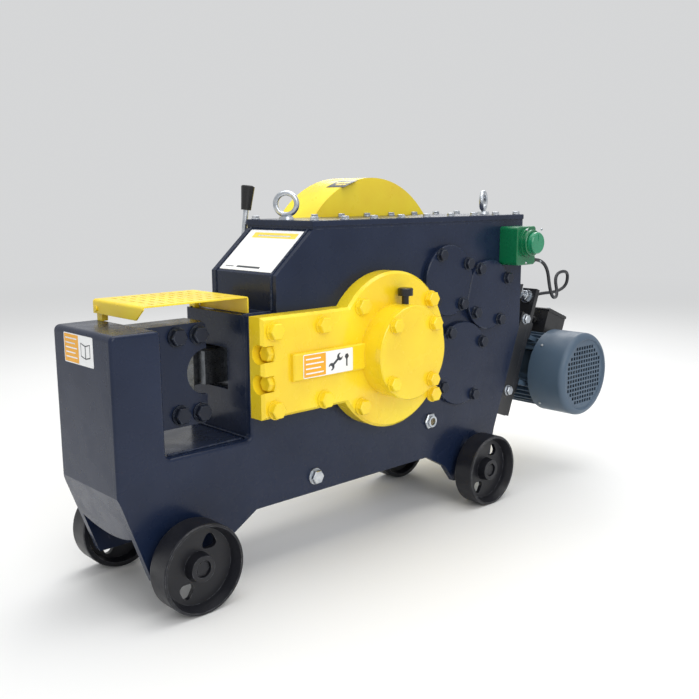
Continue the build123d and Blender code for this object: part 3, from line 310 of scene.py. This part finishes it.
class Paint(Enum):
    """The machine's finishes."""

    # Gloss machine enamel, sprayed on welded plate: nearly black with cool reflections, and pale corners that are a
    # painted highlight as well as wear.
    NAVY = Enamel("navy gloss enamel on steel plate", "131e35", 0.26, coat=0.08, ior=1.34)
    # The same enamel brushed over the bolts and the blade seat after assembly: duller, with more of the pale corners
    # that are wear and painted highlight.
    NAVY_BOLT = Enamel("navy enamel on fasteners", "161c2a", 0.34, ior=1.36, corner_scuff_and_highlight=0.7, peel=2.0)
    # Chrome yellow enamel over a casting: warm, glossy, with a fuller peel than the plate.
    YELLOW = Enamel("yellow gloss enamel on casting", "f1cc22", 0.24, coat=0.2, corner_scuff_and_highlight_colour="c9a018", depth=0.09)
    # Yellow powder coat on thin sheet: smoother than the casting.
    YELLOW_SHEET = Enamel("yellow powder coat on sheet steel", "f3d02c", 0.32, corner_scuff_and_highlight_colour="d8b022", peel=3.0)
    # Blue-grey motor enamel on die-cast aluminium and a pressed cowl: satin and even.
    MOTOR = Enamel("blue grey satin enamel on aluminium", "46586a", 0.42, corner_scuff_and_highlight_colour="8d9aa6", corner_scuff_and_highlight=0.2)
    # Black stoved enamel on motor plate and brackets: satin, with grey corners that are wear and painted highlight.
    BLACK = Enamel("black stoved enamel on steel", "131418", 0.36, corner_scuff_and_highlight_colour="6d7076", corner_scuff_and_highlight=0.5)
    # Sand-cast iron painted black: a coarse skin that breaks up the highlights.
    CAST = Enamel("black paint on sand cast iron", "14151b", 0.38, ior=1.42, corner_scuff_and_highlight_colour="8a8d94", corner_scuff_and_highlight=0.8, peel=3.2,
                  depth=0.22)
    # Green glossy thermoset of a switch case: clean and saturated.
    GREEN = Moulded("green moulded switch plastic", "04623c", 0.26, coat=0.2, depth=0.02)
    # Pale green acrylic of the switch knob: the raised rings catch light.
    KNOB = Moulded("green moulded knob plastic", "1a7d58", 0.24, coat=0.3, depth=0.02)
    # Bright zinc plate, barrel plated: silvery with a cloudy, slightly blue tone.
    ZINC = Metal("bright zinc plate on steel", "d3d6da", 0.3, 1.0, tint="a9b0b8", depth=0.01)
    # Ground tool steel of the blades: straight grinding lines.
    BLADE = Metal("ground tool steel", "7b7e82", 0.3, 1.0, tint="5a5d61", grain=0.9, lines=(0.15, 1.0, 1.0))
    # Machined shafts, gears and slides under a film of oil: darker steel, turned marks.
    MACHINED = Metal("machined oiled steel", "66686c", 0.34, 1.0, tint="46484c", lines=(1.0, 0.2, 1.0))
    # Cast bronze bushes: brown-gold with turned marks.
    BRONZE = Metal("turned bearing bronze", "a9743a", 0.34, 1.0, tint="87592b", lines=(1.0, 0.2, 1.0))
    # Black phenolic grip and filler cap: deep black with a soft shine.
    PHENOLIC = Moulded("black moulded phenolic", "121214", 0.3)
    # Black-grey PVC cable sheath: soft shine, faintly uneven.
    SHEATH = Moulded("black PVC cable sheath", "1e2026", 0.42, grain=2.0, depth=0.05)
    # Rubber V-belts: matt and dusty.
    RUBBER = Moulded("black belt rubber", "1a1a1b", 0.75, depth=0.08)
    # Acrylic window with oil behind it.
    LENS = Clear("oil sight glass acrylic", "e0c98a", 0.05, ior=1.49)
    # Printed vinyl: flat inks under a satin film.
    WHITE_INK = Moulded("white vinyl film", "eef0ef", 0.35, depth=0.005)
    AMBER_INK = Moulded("amber ink on vinyl", "e8a41f", 0.35, depth=0.005)
    YELLOW_INK = Moulded("yellow ink on vinyl", "f0d04a", 0.35, depth=0.005)
    DARK_INK = Moulded("dark grey ink on vinyl", "33373d", 0.35, depth=0.005)

    def material(self) -> bpy.types.Material:
        """This finish's material, made once."""
        return bpy.data.materials.get(self.value.name) or self.value.build()


# --- meshes -------------------------------------------------------------------------------------------------


def keep_mesh(name: str, mesh: bpy.types.Mesh) -> bpy.types.Object:
    """Put a finished mesh into the scene as a named piece."""
    piece = bpy.data.objects.new(name, mesh)
    bpy.context.scene.collection.objects.link(piece)
    return piece


class GeometryTree:
    """A Geometry Nodes tree with named inputs that ends in Realize Instances and Set Material."""

    def __init__(self, name: str, sizes: dict[str, float]) -> None:
        """Make the group with a geometry, one number per size and a material."""
        self.group = bpy.data.node_groups.new(name, "GeometryNodeTree")
        face = self.group.interface
        self.names: dict[str, str] = {}
        face.new_socket("Geometry", in_out="INPUT", socket_type="NodeSocketGeometry")
        for label, value in sizes.items():
            socket = face.new_socket(label, in_out="INPUT", socket_type="NodeSocketFloat")
            socket.default_value = value
            self.names[label] = socket.identifier
        self.names["Material"] = face.new_socket("Material", in_out="INPUT",
                                                 socket_type="NodeSocketMaterial").identifier
        face.new_socket("Geometry", in_out="OUTPUT", socket_type="NodeSocketGeometry")
        self.given = add(self.group, "NodeGroupInput").outputs

    def end(self, instances: bpy.types.NodeSocket, smooth: bool) -> None:
        """Realize the instances, shade them and give them the material."""
        real = add(self.group, "GeometryNodeRealizeInstances", {"Geometry": instances}).outputs[0]
        shaded = add(self.group, "GeometryNodeSetShadeSmooth", {"Geometry": real, "Shade Smooth": smooth}).outputs[0]
        dressed = add(self.group, "GeometryNodeSetMaterial", {"Geometry": shaded, "Material": self.given["Material"]})
        add(self.group, "NodeGroupOutput", {"Geometry": dressed.outputs[0]})

    def grow(self, name: str, seed: bpy.types.Mesh, values: dict[str, Any]) -> bpy.types.Object:
        """Run the tree on a seed mesh.

        Args:
            name: The finished piece's name.
            seed: Points or edges that the tree starts from.
            values: The value of each input that isn't left at its default.

        Returns:
            The finished piece with a plain mesh and no modifier.
        """
        holder = keep_mesh(name + "_seed", seed)
        modifier = holder.modifiers.new("grow", "NODES")
        modifier.node_group = self.group
        for label, value in values.items():
            modifier[self.names[label]] = value
        ready = holder.evaluated_get(bpy.context.evaluated_depsgraph_get())
        mesh = bpy.data.meshes.new_from_object(ready)
        holder.modifiers.remove(modifier)
        bpy.data.objects.remove(holder)
        return keep_mesh(name, mesh)


class WeldTree(GeometryTree):
    """Weld metal: overlapping flattened drops along edges."""

    def __init__(self) -> None:
        """Build the tree."""
        super().__init__("weld_bead", {"Pitch": 2.6 * MM, "Radius": 3.2 * MM})
        tree, given = self.group, self.given
        line = add(tree, "GeometryNodeMeshToCurve", {"Mesh": given["Geometry"]}).outputs[0]
        dots = add(tree, "GeometryNodeResampleCurve", {"Curve": line, "Length": given["Pitch"]}, mode="LENGTH")
        ball = {"Segments": 8, "Rings": 5, "Radius": given["Radius"]}
        drop = add(tree, "GeometryNodeMeshUVSphere", ball).outputs[0]
        along = add(tree, "GeometryNodeInputTangent").outputs[0]
        turn = add(tree, "FunctionNodeAlignRotationToVector", {"Vector": along}, axis="Z").outputs[0]
        size = add(tree, "FunctionNodeRandomValue", {0: (0.82, 0.82, 0.5), 1: (1.1, 1.1, 0.9), "Seed": 7},
                   data_type="FLOAT_VECTOR").outputs[0]
        beads = add(tree, "GeometryNodeInstanceOnPoints",
                    {"Points": dots.outputs[0], "Instance": drop, "Rotation": turn, "Scale": size})
        self.end(beads.outputs[0], True)


class ScrewTree(GeometryTree):
    """Pan head screws with a cross recess, one at each point, standing along the point's facing attribute."""

    def __init__(self) -> None:
        """Build the tree."""
        super().__init__("cross_recess_screw", {"Radius": 4 * MM, "Height": 2.5 * MM, "Recess": 1.2 * MM})
        tree, given = self.group, self.given
        wider = {"Vertices": 20, "Radius Bottom": given["Radius"], "Depth": given["Height"]}
        top = add(tree, "ShaderNodeMath", {0: given["Radius"], 1: 0.72}, operation="MULTIPLY").outputs[0]
        head = add(tree, "GeometryNodeMeshCone", {**wider, "Radius Top": top}).outputs[0]
        reach = add(tree, "ShaderNodeMath", {0: given["Radius"], 1: 1.15}, operation="MULTIPLY").outputs[0]
        bars = []
        for wide, long in ((given["Recess"], reach), (reach, given["Recess"])):
            size = add(tree, "ShaderNodeCombineXYZ", {0: wide, 1: long, 2: given["Height"]}).outputs[0]
            bars.append(add(tree, "GeometryNodeMeshCube", {"Size": size}).outputs[0])
        lift = add(tree, "ShaderNodeCombineXYZ", {2: given["Height"]}).outputs[0]
        cut = add(tree, "GeometryNodeMeshBoolean", {"Mesh 1": head}, operation="DIFFERENCE", solver="EXACT")
        for bar in bars:
            moved = add(tree, "GeometryNodeTransform", {"Geometry": bar, "Translation": lift}).outputs[0]
            tree.links.new(moved, cut.inputs["Mesh 2"])
        facing = add(tree, "GeometryNodeInputNamedAttribute", {"Name": "facing"}, data_type="FLOAT_VECTOR")
        turn = add(tree, "FunctionNodeAlignRotationToVector", {"Vector": facing.outputs[0]}, axis="Z").outputs[0]
        placed = add(tree, "GeometryNodeInstanceOnPoints",
                     {"Points": given["Geometry"], "Instance": cut.outputs[0], "Rotation": turn})
        self.end(placed.outputs[0], False)


def paths_mesh(paths: Sequence[Sequence[Vector]], closed: bool = False) -> bpy.types.Mesh:
    """A mesh of edges only, one chain for each path."""
    points: list[Vector] = []
    edges: list[tuple[int, int]] = []
    for path in paths:
        first = len(points)
        points.extend(path)
        edges.extend((first + i, first + i + 1) for i in range(len(path) - 1))
        if closed:
            edges.append((first + len(path) - 1, first))
    mesh = bpy.data.meshes.new("paths")
    mesh.from_pydata(points, edges, [])
    return mesh


def facing_mesh(spots: Sequence[tuple[Vector, Vector]]) -> bpy.types.Mesh:
    """A mesh of loose points, each with the direction that its screw faces."""
    mesh = bpy.data.meshes.new("spots")
    mesh.from_pydata([place for place, _ in spots], [], [])
    facing = mesh.attributes.new("facing", "FLOAT_VECTOR", "POINT")
    for item, (_, way) in zip(facing.data, spots):
        item.vector = way
    return mesh


# --- sub-assemblies -----------------------------------------------------------------------------------------


@dataclass
class SubAssembly:
    """A group of the machine's pieces on one body that share their making."""

    frame: dict[str, Any]
    made: list[bpy.types.Object] = field(default_factory=list)

    def dress(self, paint: Paint, names: str) -> None:
        """Give CAD nodes, named in one line, a finish."""
        for name in names.split():
            node = self.frame["nodes"][name]
            if not node.material_slots:
                node.data.materials.append(None)
            for place in node.material_slots:
                place.material = paint.material()

    def keep(self, piece: bpy.types.Object, body: str, slot: str = "") -> bpy.types.Object:
        """Let a new piece ride on a body and add it to the group's made pieces."""
        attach(piece, body)
        self.made.append(piece)
        return piece

    def build(self) -> None:
        """Make and dress everything in the group."""
        raise NotImplementedError

    def report(self) -> None:
        """Log what was made."""
        for piece in self.made:
            LOG.info("%s: %s, %d faces", type(self).__name__, piece.name, len(getattr(piece.data, "polygons", [])))


@dataclass
class MotorCable(SubAssembly):
    """The cable from the switch to the motor's terminal box, in two loose loops."""

    diameter: float = 9.0
    length: float = 0.5762
    route: tuple[Point, ...] = (
        (1220, -145, 616), (1282, -145, 616), (1292, -155, 512), (1352, -140, 505), (1358, -120, 570),
        (1425, -125, 576), (1432, -110, 514), (1330, -60, 510), (1317.16, -40, 456.40), (1369.53, -40, 436.56))

    def build(self) -> None:
        """Draw the cable as one smooth curve that replaces its CAD tube."""
        data = bpy.data.curves.new("motor_cable_sheath", "CURVE")
        data.dimensions = "3D"
        data.bevel_depth = self.diameter / 2 * MM
        data.bevel_resolution = 5
        data.use_fill_caps = True
        spline = data.splines.new("NURBS")
        spline.points.add(len(self.route) - 1)
        for point, station in zip(spline.points, self.route):
            point.co = (*at(*station), 1.0)
        spline.order_u = 3
        spline.use_endpoint_u = True
        spline.resolution_u = 12
        sheath = bpy.data.objects.new("motor_cable_sheath", data)
        bpy.context.scene.collection.objects.link(sheath)
        data.materials.append(Paint.SHEATH.material())
        self.keep(sheath, "frame", "motor_cable")
        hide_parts("motor_cable")
        self.dress(Paint.PHENOLIC, "cable_glands")


@dataclass
class WeldedBody(SubAssembly):
    """The plate box on its feet: navy enamel, and the weld runs of its seams."""

    inner: float = 96.0  # inner face of each side plate
    half: float = 112.0  # outer face of each side plate
    throat: Point2 = (104.0, 305.0)  # the column's face and the housing's wall
    throat_floor: float = 300.0
    step: float = 552.0  # top of the throat's wall, where the housing's front stands
    foot: float = 376.0  # the housing's front
    slope: tuple[Point2, Point2] = ((376, 626), (478, 716))
    wheel_x: Point2 = (136.0, 1022.0)
    axle_height: float = 90.0
    axle_radius: float = 13.5

    def build(self) -> None:
        """Dress the plates and lay the weld."""
        self.dress(Paint.NAVY, "side_plate_near side_plate_far column_box housing_front rear_wall top_cover")
        self.dress(Paint.NAVY, "bearing_covers far_bearing_caps")
        self.dress(Paint.NAVY_BOLT, "bearing_cover_bolts")
        self.dress(Paint.ZINC, "cover_bolts eye_bolts plated_bolts sight_glass_ring")
        self.dress(Paint.LENS, "sight_glass_lens")
        tree = WeldTree()
        dressed = {"Material": Paint.NAVY.material()}
        seams = tree.grow("seam_welds", paths_mesh(self.seams()), dressed)
        self.keep(seams, "frame", "housing_front")
        collars = tree.grow("axle_welds", paths_mesh(self.collars(), True), {**dressed, "Radius": 2.6 * MM})
        self.keep(collars, "frame", "housing_front")

    def seams(self) -> list[list[Vector]]:
        """Paths of the runs: across the throat's floor at its corners, the sloped seams, and along the throat's floor
        and the ledge on each side.
        """
        y = self.inner - 3
        left, right = self.throat
        low, ledge = self.throat_floor - 0.5, self.step - 0.5
        runs = [[at(x, -y, self.throat_floor), at(x, y, self.throat_floor)] for x in (left + 2, right - 2)]
        for side in (-1, 1):
            edge = side * (self.inner + 0.5)
            front = [(self.foot, self.step + 4), *self.slope]
            runs.append([at(x - 0.4, edge, z) for x, z in front])
            runs.append([at(left + 16, side * y, low), at(right - 15, side * y, low)])
            runs.append([at(right + 1, side * y, ledge), at(self.foot - 2, side * y, ledge)])
        return runs

    def collars(self) -> list[list[Vector]]:
        """Rings of weld where the axles pass the side plates."""
        rings = []
        for x in self.wheel_x:
            for side in (-1, 1):
                turns = [math.tau * i / 24 for i in range(24)]
                rings.append([at(x + self.axle_radius * math.cos(t), side * (self.half + 0.8),
                                 self.axle_height + self.axle_radius * math.sin(t)) for t in turns])
        return rings


@dataclass
class BladeThroat(SubAssembly):
    """Blade holder, blades, guides, ram and the flap guard over the throat."""

    def build(self) -> None:
        """Dress the cutting end."""
        self.dress(Paint.NAVY, "blade_seat blade_holder")
        self.dress(Paint.NAVY_BOLT, "holder_bolts")
        self.dress(Paint.BLADE, "fixed_blade moving_blade")
        self.dress(Paint.MACHINED, "ram ram_guides ram_yoke")
        self.dress(Paint.YELLOW_SHEET, "blade_guard")


@dataclass
class GearTrain(SubAssembly):
    """Crank cover, shafts, gears, clutch and bearings."""

    def build(self) -> None:
        """Dress the drive."""
        self.dress(Paint.YELLOW, "rod_cover hub_cap rod_cover_bolts")
        self.dress(Paint.PHENOLIC, "oil_filler lever_grip")
        self.dress(Paint.MACHINED, "flywheel_shaft second_shaft third_shaft crank_gear crankshaft")
        self.dress(Paint.MACHINED, "clutch_sleeve shift_fork")
        self.dress(Paint.BRONZE, "bearing_bushes")
        self.dress(Paint.ZINC, "clutch_lever")


@dataclass
class BeltDrive(SubAssembly):
    """Flywheel, pulley, belts and their yellow guard."""

    def build(self) -> None:
        """Dress the belt side."""
        self.dress(Paint.CAST, "flywheel motor_pulley")
        self.dress(Paint.RUBBER, "drive_belts")
        self.dress(Paint.YELLOW_SHEET, "guard_back guard_cover guard_hinge")


@dataclass
class MotorUnit(SubAssembly):
    """The motor on its slanted plate, with the screws of its cowl and terminal box."""

    axis: Point2 = (1390.0, 293.0)
    cowl_radius: float = 115.0
    cowl_station: float = -124.0
    lid: float = 167.0  # lid face from the motor's axis, along the plate
    lid_n: Point2 = (-40.0, 40.0)
    lid_y: Point2 = (-72.0, 12.0)
    plate_run: Point2 = (100.0, 264.0)  # the slanted wall's foot to top, in x and z

    def place(self, u: float, n: float, y: float) -> Vector:
        """A point in the motor's turned frame: u up along the plate, n towards the body, y across."""
        slant = math.atan2(*self.plate_run)
        x = self.axis[0] + u * math.sin(slant) - n * math.cos(slant)
        return at(x, y, self.axis[1] + u * math.cos(slant) + n * math.sin(slant))

    def build(self) -> None:
        """Dress the motor and set its screws."""
        self.dress(Paint.MOTOR, "motor_barrel fan_cover")
        self.dress(Paint.PHENOLIC, "motor_rotor")
        self.dress(Paint.BLACK, "motor_plate motor_brackets terminal_box")
        self.dress(Paint.ZINC, "tension_screw")
        tree = ScrewTree()
        dressed = {"Material": Paint.ZINC.material()}
        cowl = tree.grow("cowl_screws", facing_mesh(self.cowl_spots()), dressed)
        self.keep(cowl, "frame", "plated_bolts")
        lid = tree.grow("terminal_lid_screws", facing_mesh(self.lid_spots()), dressed)
        self.keep(lid, "frame", "plated_bolts")
        box = tree.grow("switch_case_screws", facing_mesh(self.case_spots()), {**dressed, "Radius": 3.2 * MM})
        self.keep(box, "frame", "plated_bolts")

    def cowl_spots(self) -> list[tuple[Vector, Vector]]:
        """Four radial screws that hold the fan cowl."""
        spots = []
        for i in range(4):
            turn = math.radians(45 + 90 * i)
            way = Vector((math.cos(turn), 0, math.sin(turn)))
            centre = at(self.axis[0], self.cowl_station, self.axis[1])
            spots.append((centre + way * (self.cowl_radius + 1.0) * MM, way))
        return spots

    def lid_spots(self) -> list[tuple[Vector, Vector]]:
        """One screw at each corner of the terminal lid."""
        way = (self.place(1, 0, 0) - self.place(0, 0, 0)).normalized()
        return [(self.place(self.lid + 1.0, n, y), way) for n in self.lid_n for y in self.lid_y]

    def case_spots(self) -> list[tuple[Vector, Vector]]:
        """One screw at each corner of the switch case's face."""
        low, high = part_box("switch_box")
        rim = 8 * MM
        face = low[1] - 0.5 * MM
        spots = []
        for x in (low[0] + rim, high[0] - rim):
            for z in (low[2] + rim, high[2] - rim):
                spots.append((Vector((x, face, z)), Vector((0, -1, 0))))
        return spots


@dataclass
class SwitchUnit(SubAssembly):
    """The green switch case and its knob."""

    def build(self) -> None:
        """Dress the switch."""
        self.dress(Paint.GREEN, "switch_box")
        self.dress(Paint.KNOB, "switch_knob")


@dataclass
class RoadWheels(SubAssembly):
    """Four cast iron wheels."""

    def build(self) -> None:
        """Dress the wheels."""
        self.dress(Paint.CAST, "wheel_front_near wheel_front_far wheel_rear_near wheel_rear_far axles")


# --- labels -------------------------------------------------------------------------------------------------


@dataclass
class Label:
    """A vinyl label: a rounded film with flat prints, in mm from its lower left corner."""

    name: str
    corner: Vector  # lower left corner in the row frame
    across: Vector
    up: Vector
    width: float
    height: float
    film: float = 0.3
    ink: float = 0.08
    prints: list[tuple[Paint, list[Point2]]] = field(default_factory=list)

    def bar(self, ink: Paint, left: float, low: float, right: float, high: float) -> None:
        """Print a rectangle."""
        self.prints.append((ink, [(left, low), (right, low), (right, high), (left, high)]))

    def shape(self, ink: Paint, points: Sequence[Point2], centre: Point2,
              turn: float = 0.0) -> None:
        """Print an outline, turned by degrees about its own origin and put at centre."""
        c, s = math.cos(math.radians(turn)), math.sin(math.radians(turn))
        moved = [(centre[0] + x * c - y * s, centre[1] + x * s + y * c) for x, y in points]
        self.prints.append((ink, moved))

    def rounded(self, radius: float = 3.0, steps: int = 5) -> list[Point2]:
        """Outline of the film with round corners."""
        points = []
        corners = ((self.width - radius, radius, -90), (self.width - radius, self.height - radius, 0),
                   (radius, self.height - radius, 90), (radius, radius, 180))
        for x, y, start in corners:
            for i in range(steps + 1):
                turn = math.radians(start + 90 * i / steps)
                points.append((x + radius * math.cos(turn), y + radius * math.sin(turn)))
        return points

    def piece(self) -> bpy.types.Object:
        """Build the film and its prints as one mesh with one material for each ink."""
        inks = [Paint.WHITE_INK] + sorted({ink for ink, _ in self.prints}, key=lambda ink: ink.name)
        mesh = bpy.data.meshes.new(self.name)
        for ink in inks:
            mesh.materials.append(ink.material())
        work = bmesh.new()
        self.prism(work, self.rounded(), 0.0, self.film, 0)
        for order, (ink, outline) in enumerate(self.prints):
            self.prism(work, outline, self.film, self.film + self.ink * (1 + 0.15 * order), inks.index(ink))
        bmesh.ops.recalc_face_normals(work, faces=work.faces)
        work.to_mesh(mesh)
        work.free()
        return keep_mesh(self.name, mesh)

    def prism(self, work: bmesh.types.BMesh, outline: Sequence[Point2], low: float, high: float,
              slot: int) -> None:
        """Raise an outline between two heights above the surface."""
        away = self.across.cross(self.up)
        rings = []
        for lift in (low, high):
            rings.append([work.verts.new(self.corner + (self.across * x + self.up * y + away * lift) * MM)
                          for x, y in outline])
        faces = [work.faces.new(rings[0]), work.faces.new(rings[1])]
        for i in range(len(outline)):
            j = (i + 1) % len(outline)
            faces.append(work.faces.new((rings[0][i], rings[0][j], rings[1][j], rings[1][i])))
        for face in faces:
            face.material_index = slot


def arc(radius: float, start: float, end: float, steps: int = 14) -> list[Point2]:
    """Points of an arc about the origin, in degrees."""
    turns = [math.radians(start + (end - start) * i / steps) for i in range(steps + 1)]
    return [(radius * math.cos(t), radius * math.sin(t)) for t in turns]


def spanner(head: float, shank: float, length: float) -> list[Point2]:
    """Outline of a double open-ended spanner centred on the origin, length between its two heads."""
    lean = math.degrees(math.asin(shank / head))
    jaw = head * 0.52
    end = arc(head, 180 + lean, 326) + [(head * 0.1, -jaw), (-head * 0.15, 0.0), (head * 0.1, jaw)]
    end += arc(head, 34, 180 - lean)
    right = [(x + length / 2, y) for x, y in end]
    return right + [(-x, -y) for x, y in right]


@dataclass
class Labels(SubAssembly):
    """Plain pictogram labels on the column, the crank cover's rib and the sloped front, and the guard's marker."""

    guard: Point2 = (895.0, 572.0)  # centre of the guard's large arc
    rim: float = 258.0  # radius of that arc
    steps: int = 8  # flats in the marker's bend

    def build(self) -> None:
        """Print the three labels and wrap the marker round the guard's rim."""
        for label in (self.column(), self.rib(), self.slope()):
            self.keep(label.piece(), "frame", "rod_cover" if label.name == "rib_label" else "column_box")
        self.keep(self.marker(), "frame", "guard_cover")

    def marker(self) -> bpy.types.Object:
        """Dark film wrapped over the belt guard's rim, with two yellow bars on it."""
        work = bmesh.new()
        film, ink = self.rim + 0.4, self.rim + 0.6
        spans = ((self.rim, film, 104.0, 115.0, 118.0, 186.0, 0), (film, ink, 107.5, 109.5, 128.0, 176.0, 1),
                 (film, ink, 111.0, 112.2, 128.0, 164.0, 1))
        for low, high, start, end, near, far, slot in spans:
            rows = []
            for i in range(self.steps + 1):
                turn = math.radians(start + (end - start) * i / self.steps)
                way = (math.cos(turn), math.sin(turn))
                corners = ((low, near), (low, far), (high, far), (high, near))
                rows.append([work.verts.new(at(self.guard[0] + r * way[0], y, self.guard[1] + r * way[1]))
                             for r, y in corners])
            faces = [work.faces.new(rows[0]), work.faces.new(rows[-1])]
            for before, after in zip(rows, rows[1:]):
                for k in range(4):
                    faces.append(work.faces.new((before[k], before[(k + 1) % 4], after[(k + 1) % 4], after[k])))
            for face in faces:
                face.material_index = slot
        bmesh.ops.recalc_face_normals(work, faces=work.faces)
        mesh = bpy.data.meshes.new("guard_marker")
        mesh.materials.append(Paint.DARK_INK.material())
        mesh.materials.append(Paint.YELLOW_INK.material())
        work.to_mesh(mesh)
        work.free()
        return keep_mesh("guard_marker", mesh)

    def column(self) -> Label:
        """Amber notice and open book on the column's front."""
        label = Label("column_label", at(0, 66, 478), Vector((0, -1, 0)), Vector((0, 0, 1)), 114, 57)
        label.bar(Paint.AMBER_INK, 2, 2, 58, 55)
        for i in range(5):
            label.bar(Paint.WHITE_INK, 7, 10 + 9 * i, 52 - 7 * (i % 2), 12.5 + 9 * i)
        for side in (-1, 1):
            page = [(0, -13), (side * 18, -9), (side * 18, 17), (0, 13)]
            inner = [(side * 1.6, -10.5), (side * 16.2, -7), (side * 16.2, 14.8), (side * 1.6, 11)]
            label.shape(Paint.DARK_INK, page, (85, 26))
            label.shape(Paint.WHITE_INK, inner, (85, 26))
        return label

    def rib(self) -> Label:
        """Amber notice, spanner and bolt on the rib."""
        label = Label("rib_label", at(402, -163, 417), Vector((1, 0, 0)), Vector((0, 0, 1)), 140, 50)
        label.bar(Paint.AMBER_INK, 2, 2, 62, 48)
        for i in range(4):
            label.bar(Paint.WHITE_INK, 7, 8 + 10 * i, 56 - 8 * (i % 2), 11 + 10 * i)
        label.shape(Paint.DARK_INK, spanner(8.0, 2.6, 30.0), (90, 25), 38)
        label.shape(Paint.DARK_INK, arc(6.0, 0, 300, 5), (122, 33))
        label.bar(Paint.DARK_INK, 120, 12, 124, 31)
        return label

    def slope(self) -> Label:
        """White data panel with a yellow header band."""
        run = Vector((102, 0, 90)).normalized()
        foot = at(376, 90, 626) + run * 7 * MM
        label = Label("slope_panel", foot, Vector((0, -1, 0)), run, 180, 122)
        label.bar(Paint.YELLOW_INK, 22, 98, 170, 114)
        label.bar(Paint.WHITE_INK, 40, 103, 150, 107)
        label.bar(Paint.DARK_INK, 54, 8, 132, 13)
        label.bar(Paint.DARK_INK, 14, 9, 42, 11)
        return label


# --- studio -------------------------------------------------------------------------------------------------


@dataclass
class Studio:
    """Pale floor, soft boxes and the camera."""

    eye: Point = (-1.4865, -1.5035, 0.7821)
    azimuth: float = 42.453
    dip: float = 10.743
    roll: float = -0.399
    lens: float = 44.95
    sensor: float = 36.0
    shift: Point2 = (0.028, 0.0187)
    reach: float = 14.0  # half the floor's side, in m
    lamps: tuple[tuple[str, Point, float, float], ...] = (  # name, place, side in m, watts
        ("top", (0.1, 0.0, 3.2), 3.0, 62.0), ("key", (-1.2, -3.2, 2.4), 2.2, 42.0),
        ("back", (2.6, 2.0, 2.4), 2.0, 30.0))

    def build(self) -> None:
        """Set floor, lights, world and camera."""
        self.floor()
        self.boxes()
        self.camera()

    def floor(self) -> None:
        """A wide pale floor under a pale sky."""
        mesh = bpy.data.meshes.new("floor")
        wide = self.reach
        corners = [(-wide, -wide, 0), (wide, -wide, 0), (wide, wide, 0), (-wide, wide, 0)]
        mesh.from_pydata(corners, [], [(0, 1, 2, 3)])
        floor = keep_mesh("floor", mesh)
        mesh.materials.append(StudioFloor("pale studio floor", "f1f1f0", 0.7).build())
        world = bpy.data.worlds.new("studio")
        world.use_nodes = True
        world.node_tree.nodes["Background"].inputs["Color"].default_value = linear(SKY)
        world.node_tree.nodes["Background"].inputs["Strength"].default_value = SKY_STRENGTH
        bpy.context.scene.world = world
        bpy.context.scene.view_settings.view_transform = "Standard"

    def boxes(self) -> None:
        """Soft boxes above, to the left and behind."""
        for name, place, size, watts in self.lamps:
            data = bpy.data.lights.new(name, "AREA")
            data.size = size
            data.energy = watts
            lamp = bpy.data.objects.new(name, data)
            lamp.location = place
            aim = Vector((0, 0, 0.4)) - Vector(place)
            lamp.rotation_euler = aim.to_track_quat("-Z", "Y").to_euler()
            bpy.context.scene.collection.objects.link(lamp)

    def camera(self) -> None:
        """Put the camera at the eye, turned by azimuth, dip and roll."""
        turn, down = math.radians(self.azimuth), math.radians(self.dip)
        ahead = Vector((math.sin(turn) * math.cos(down), math.cos(turn) * math.cos(down), -math.sin(down)))
        right = Vector((math.cos(turn), -math.sin(turn), 0))
        above = right.cross(ahead)
        grid = Matrix((right, above, -ahead)).transposed() @ Matrix.Rotation(math.radians(self.roll), 3, "Z")
        data = bpy.data.cameras.new("camera")
        data.lens = self.lens
        data.sensor_width = self.sensor
        data.shift_x, data.shift_y = self.shift
        camera = bpy.data.objects.new("camera", data)
        camera.matrix_world = Matrix.Translation(self.eye) @ grid.to_4x4()
        bpy.context.scene.collection.objects.link(camera)
        bpy.context.scene.camera = camera


def main() -> None:
    """Load the frame, build every sub-assembly in order and note the sizes."""
    logging.basicConfig(level=logging.INFO, format="%(name)s %(message)s")
    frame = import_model()
    Studio().build()
    for group in (MotorCable, WeldedBody, BladeThroat, GearTrain, BeltDrive, MotorUnit, SwitchUnit, RoadWheels,
                  Labels):
        part = group(frame)
        part.build()
        part.report()


if __name__ == "__main__":
    main()
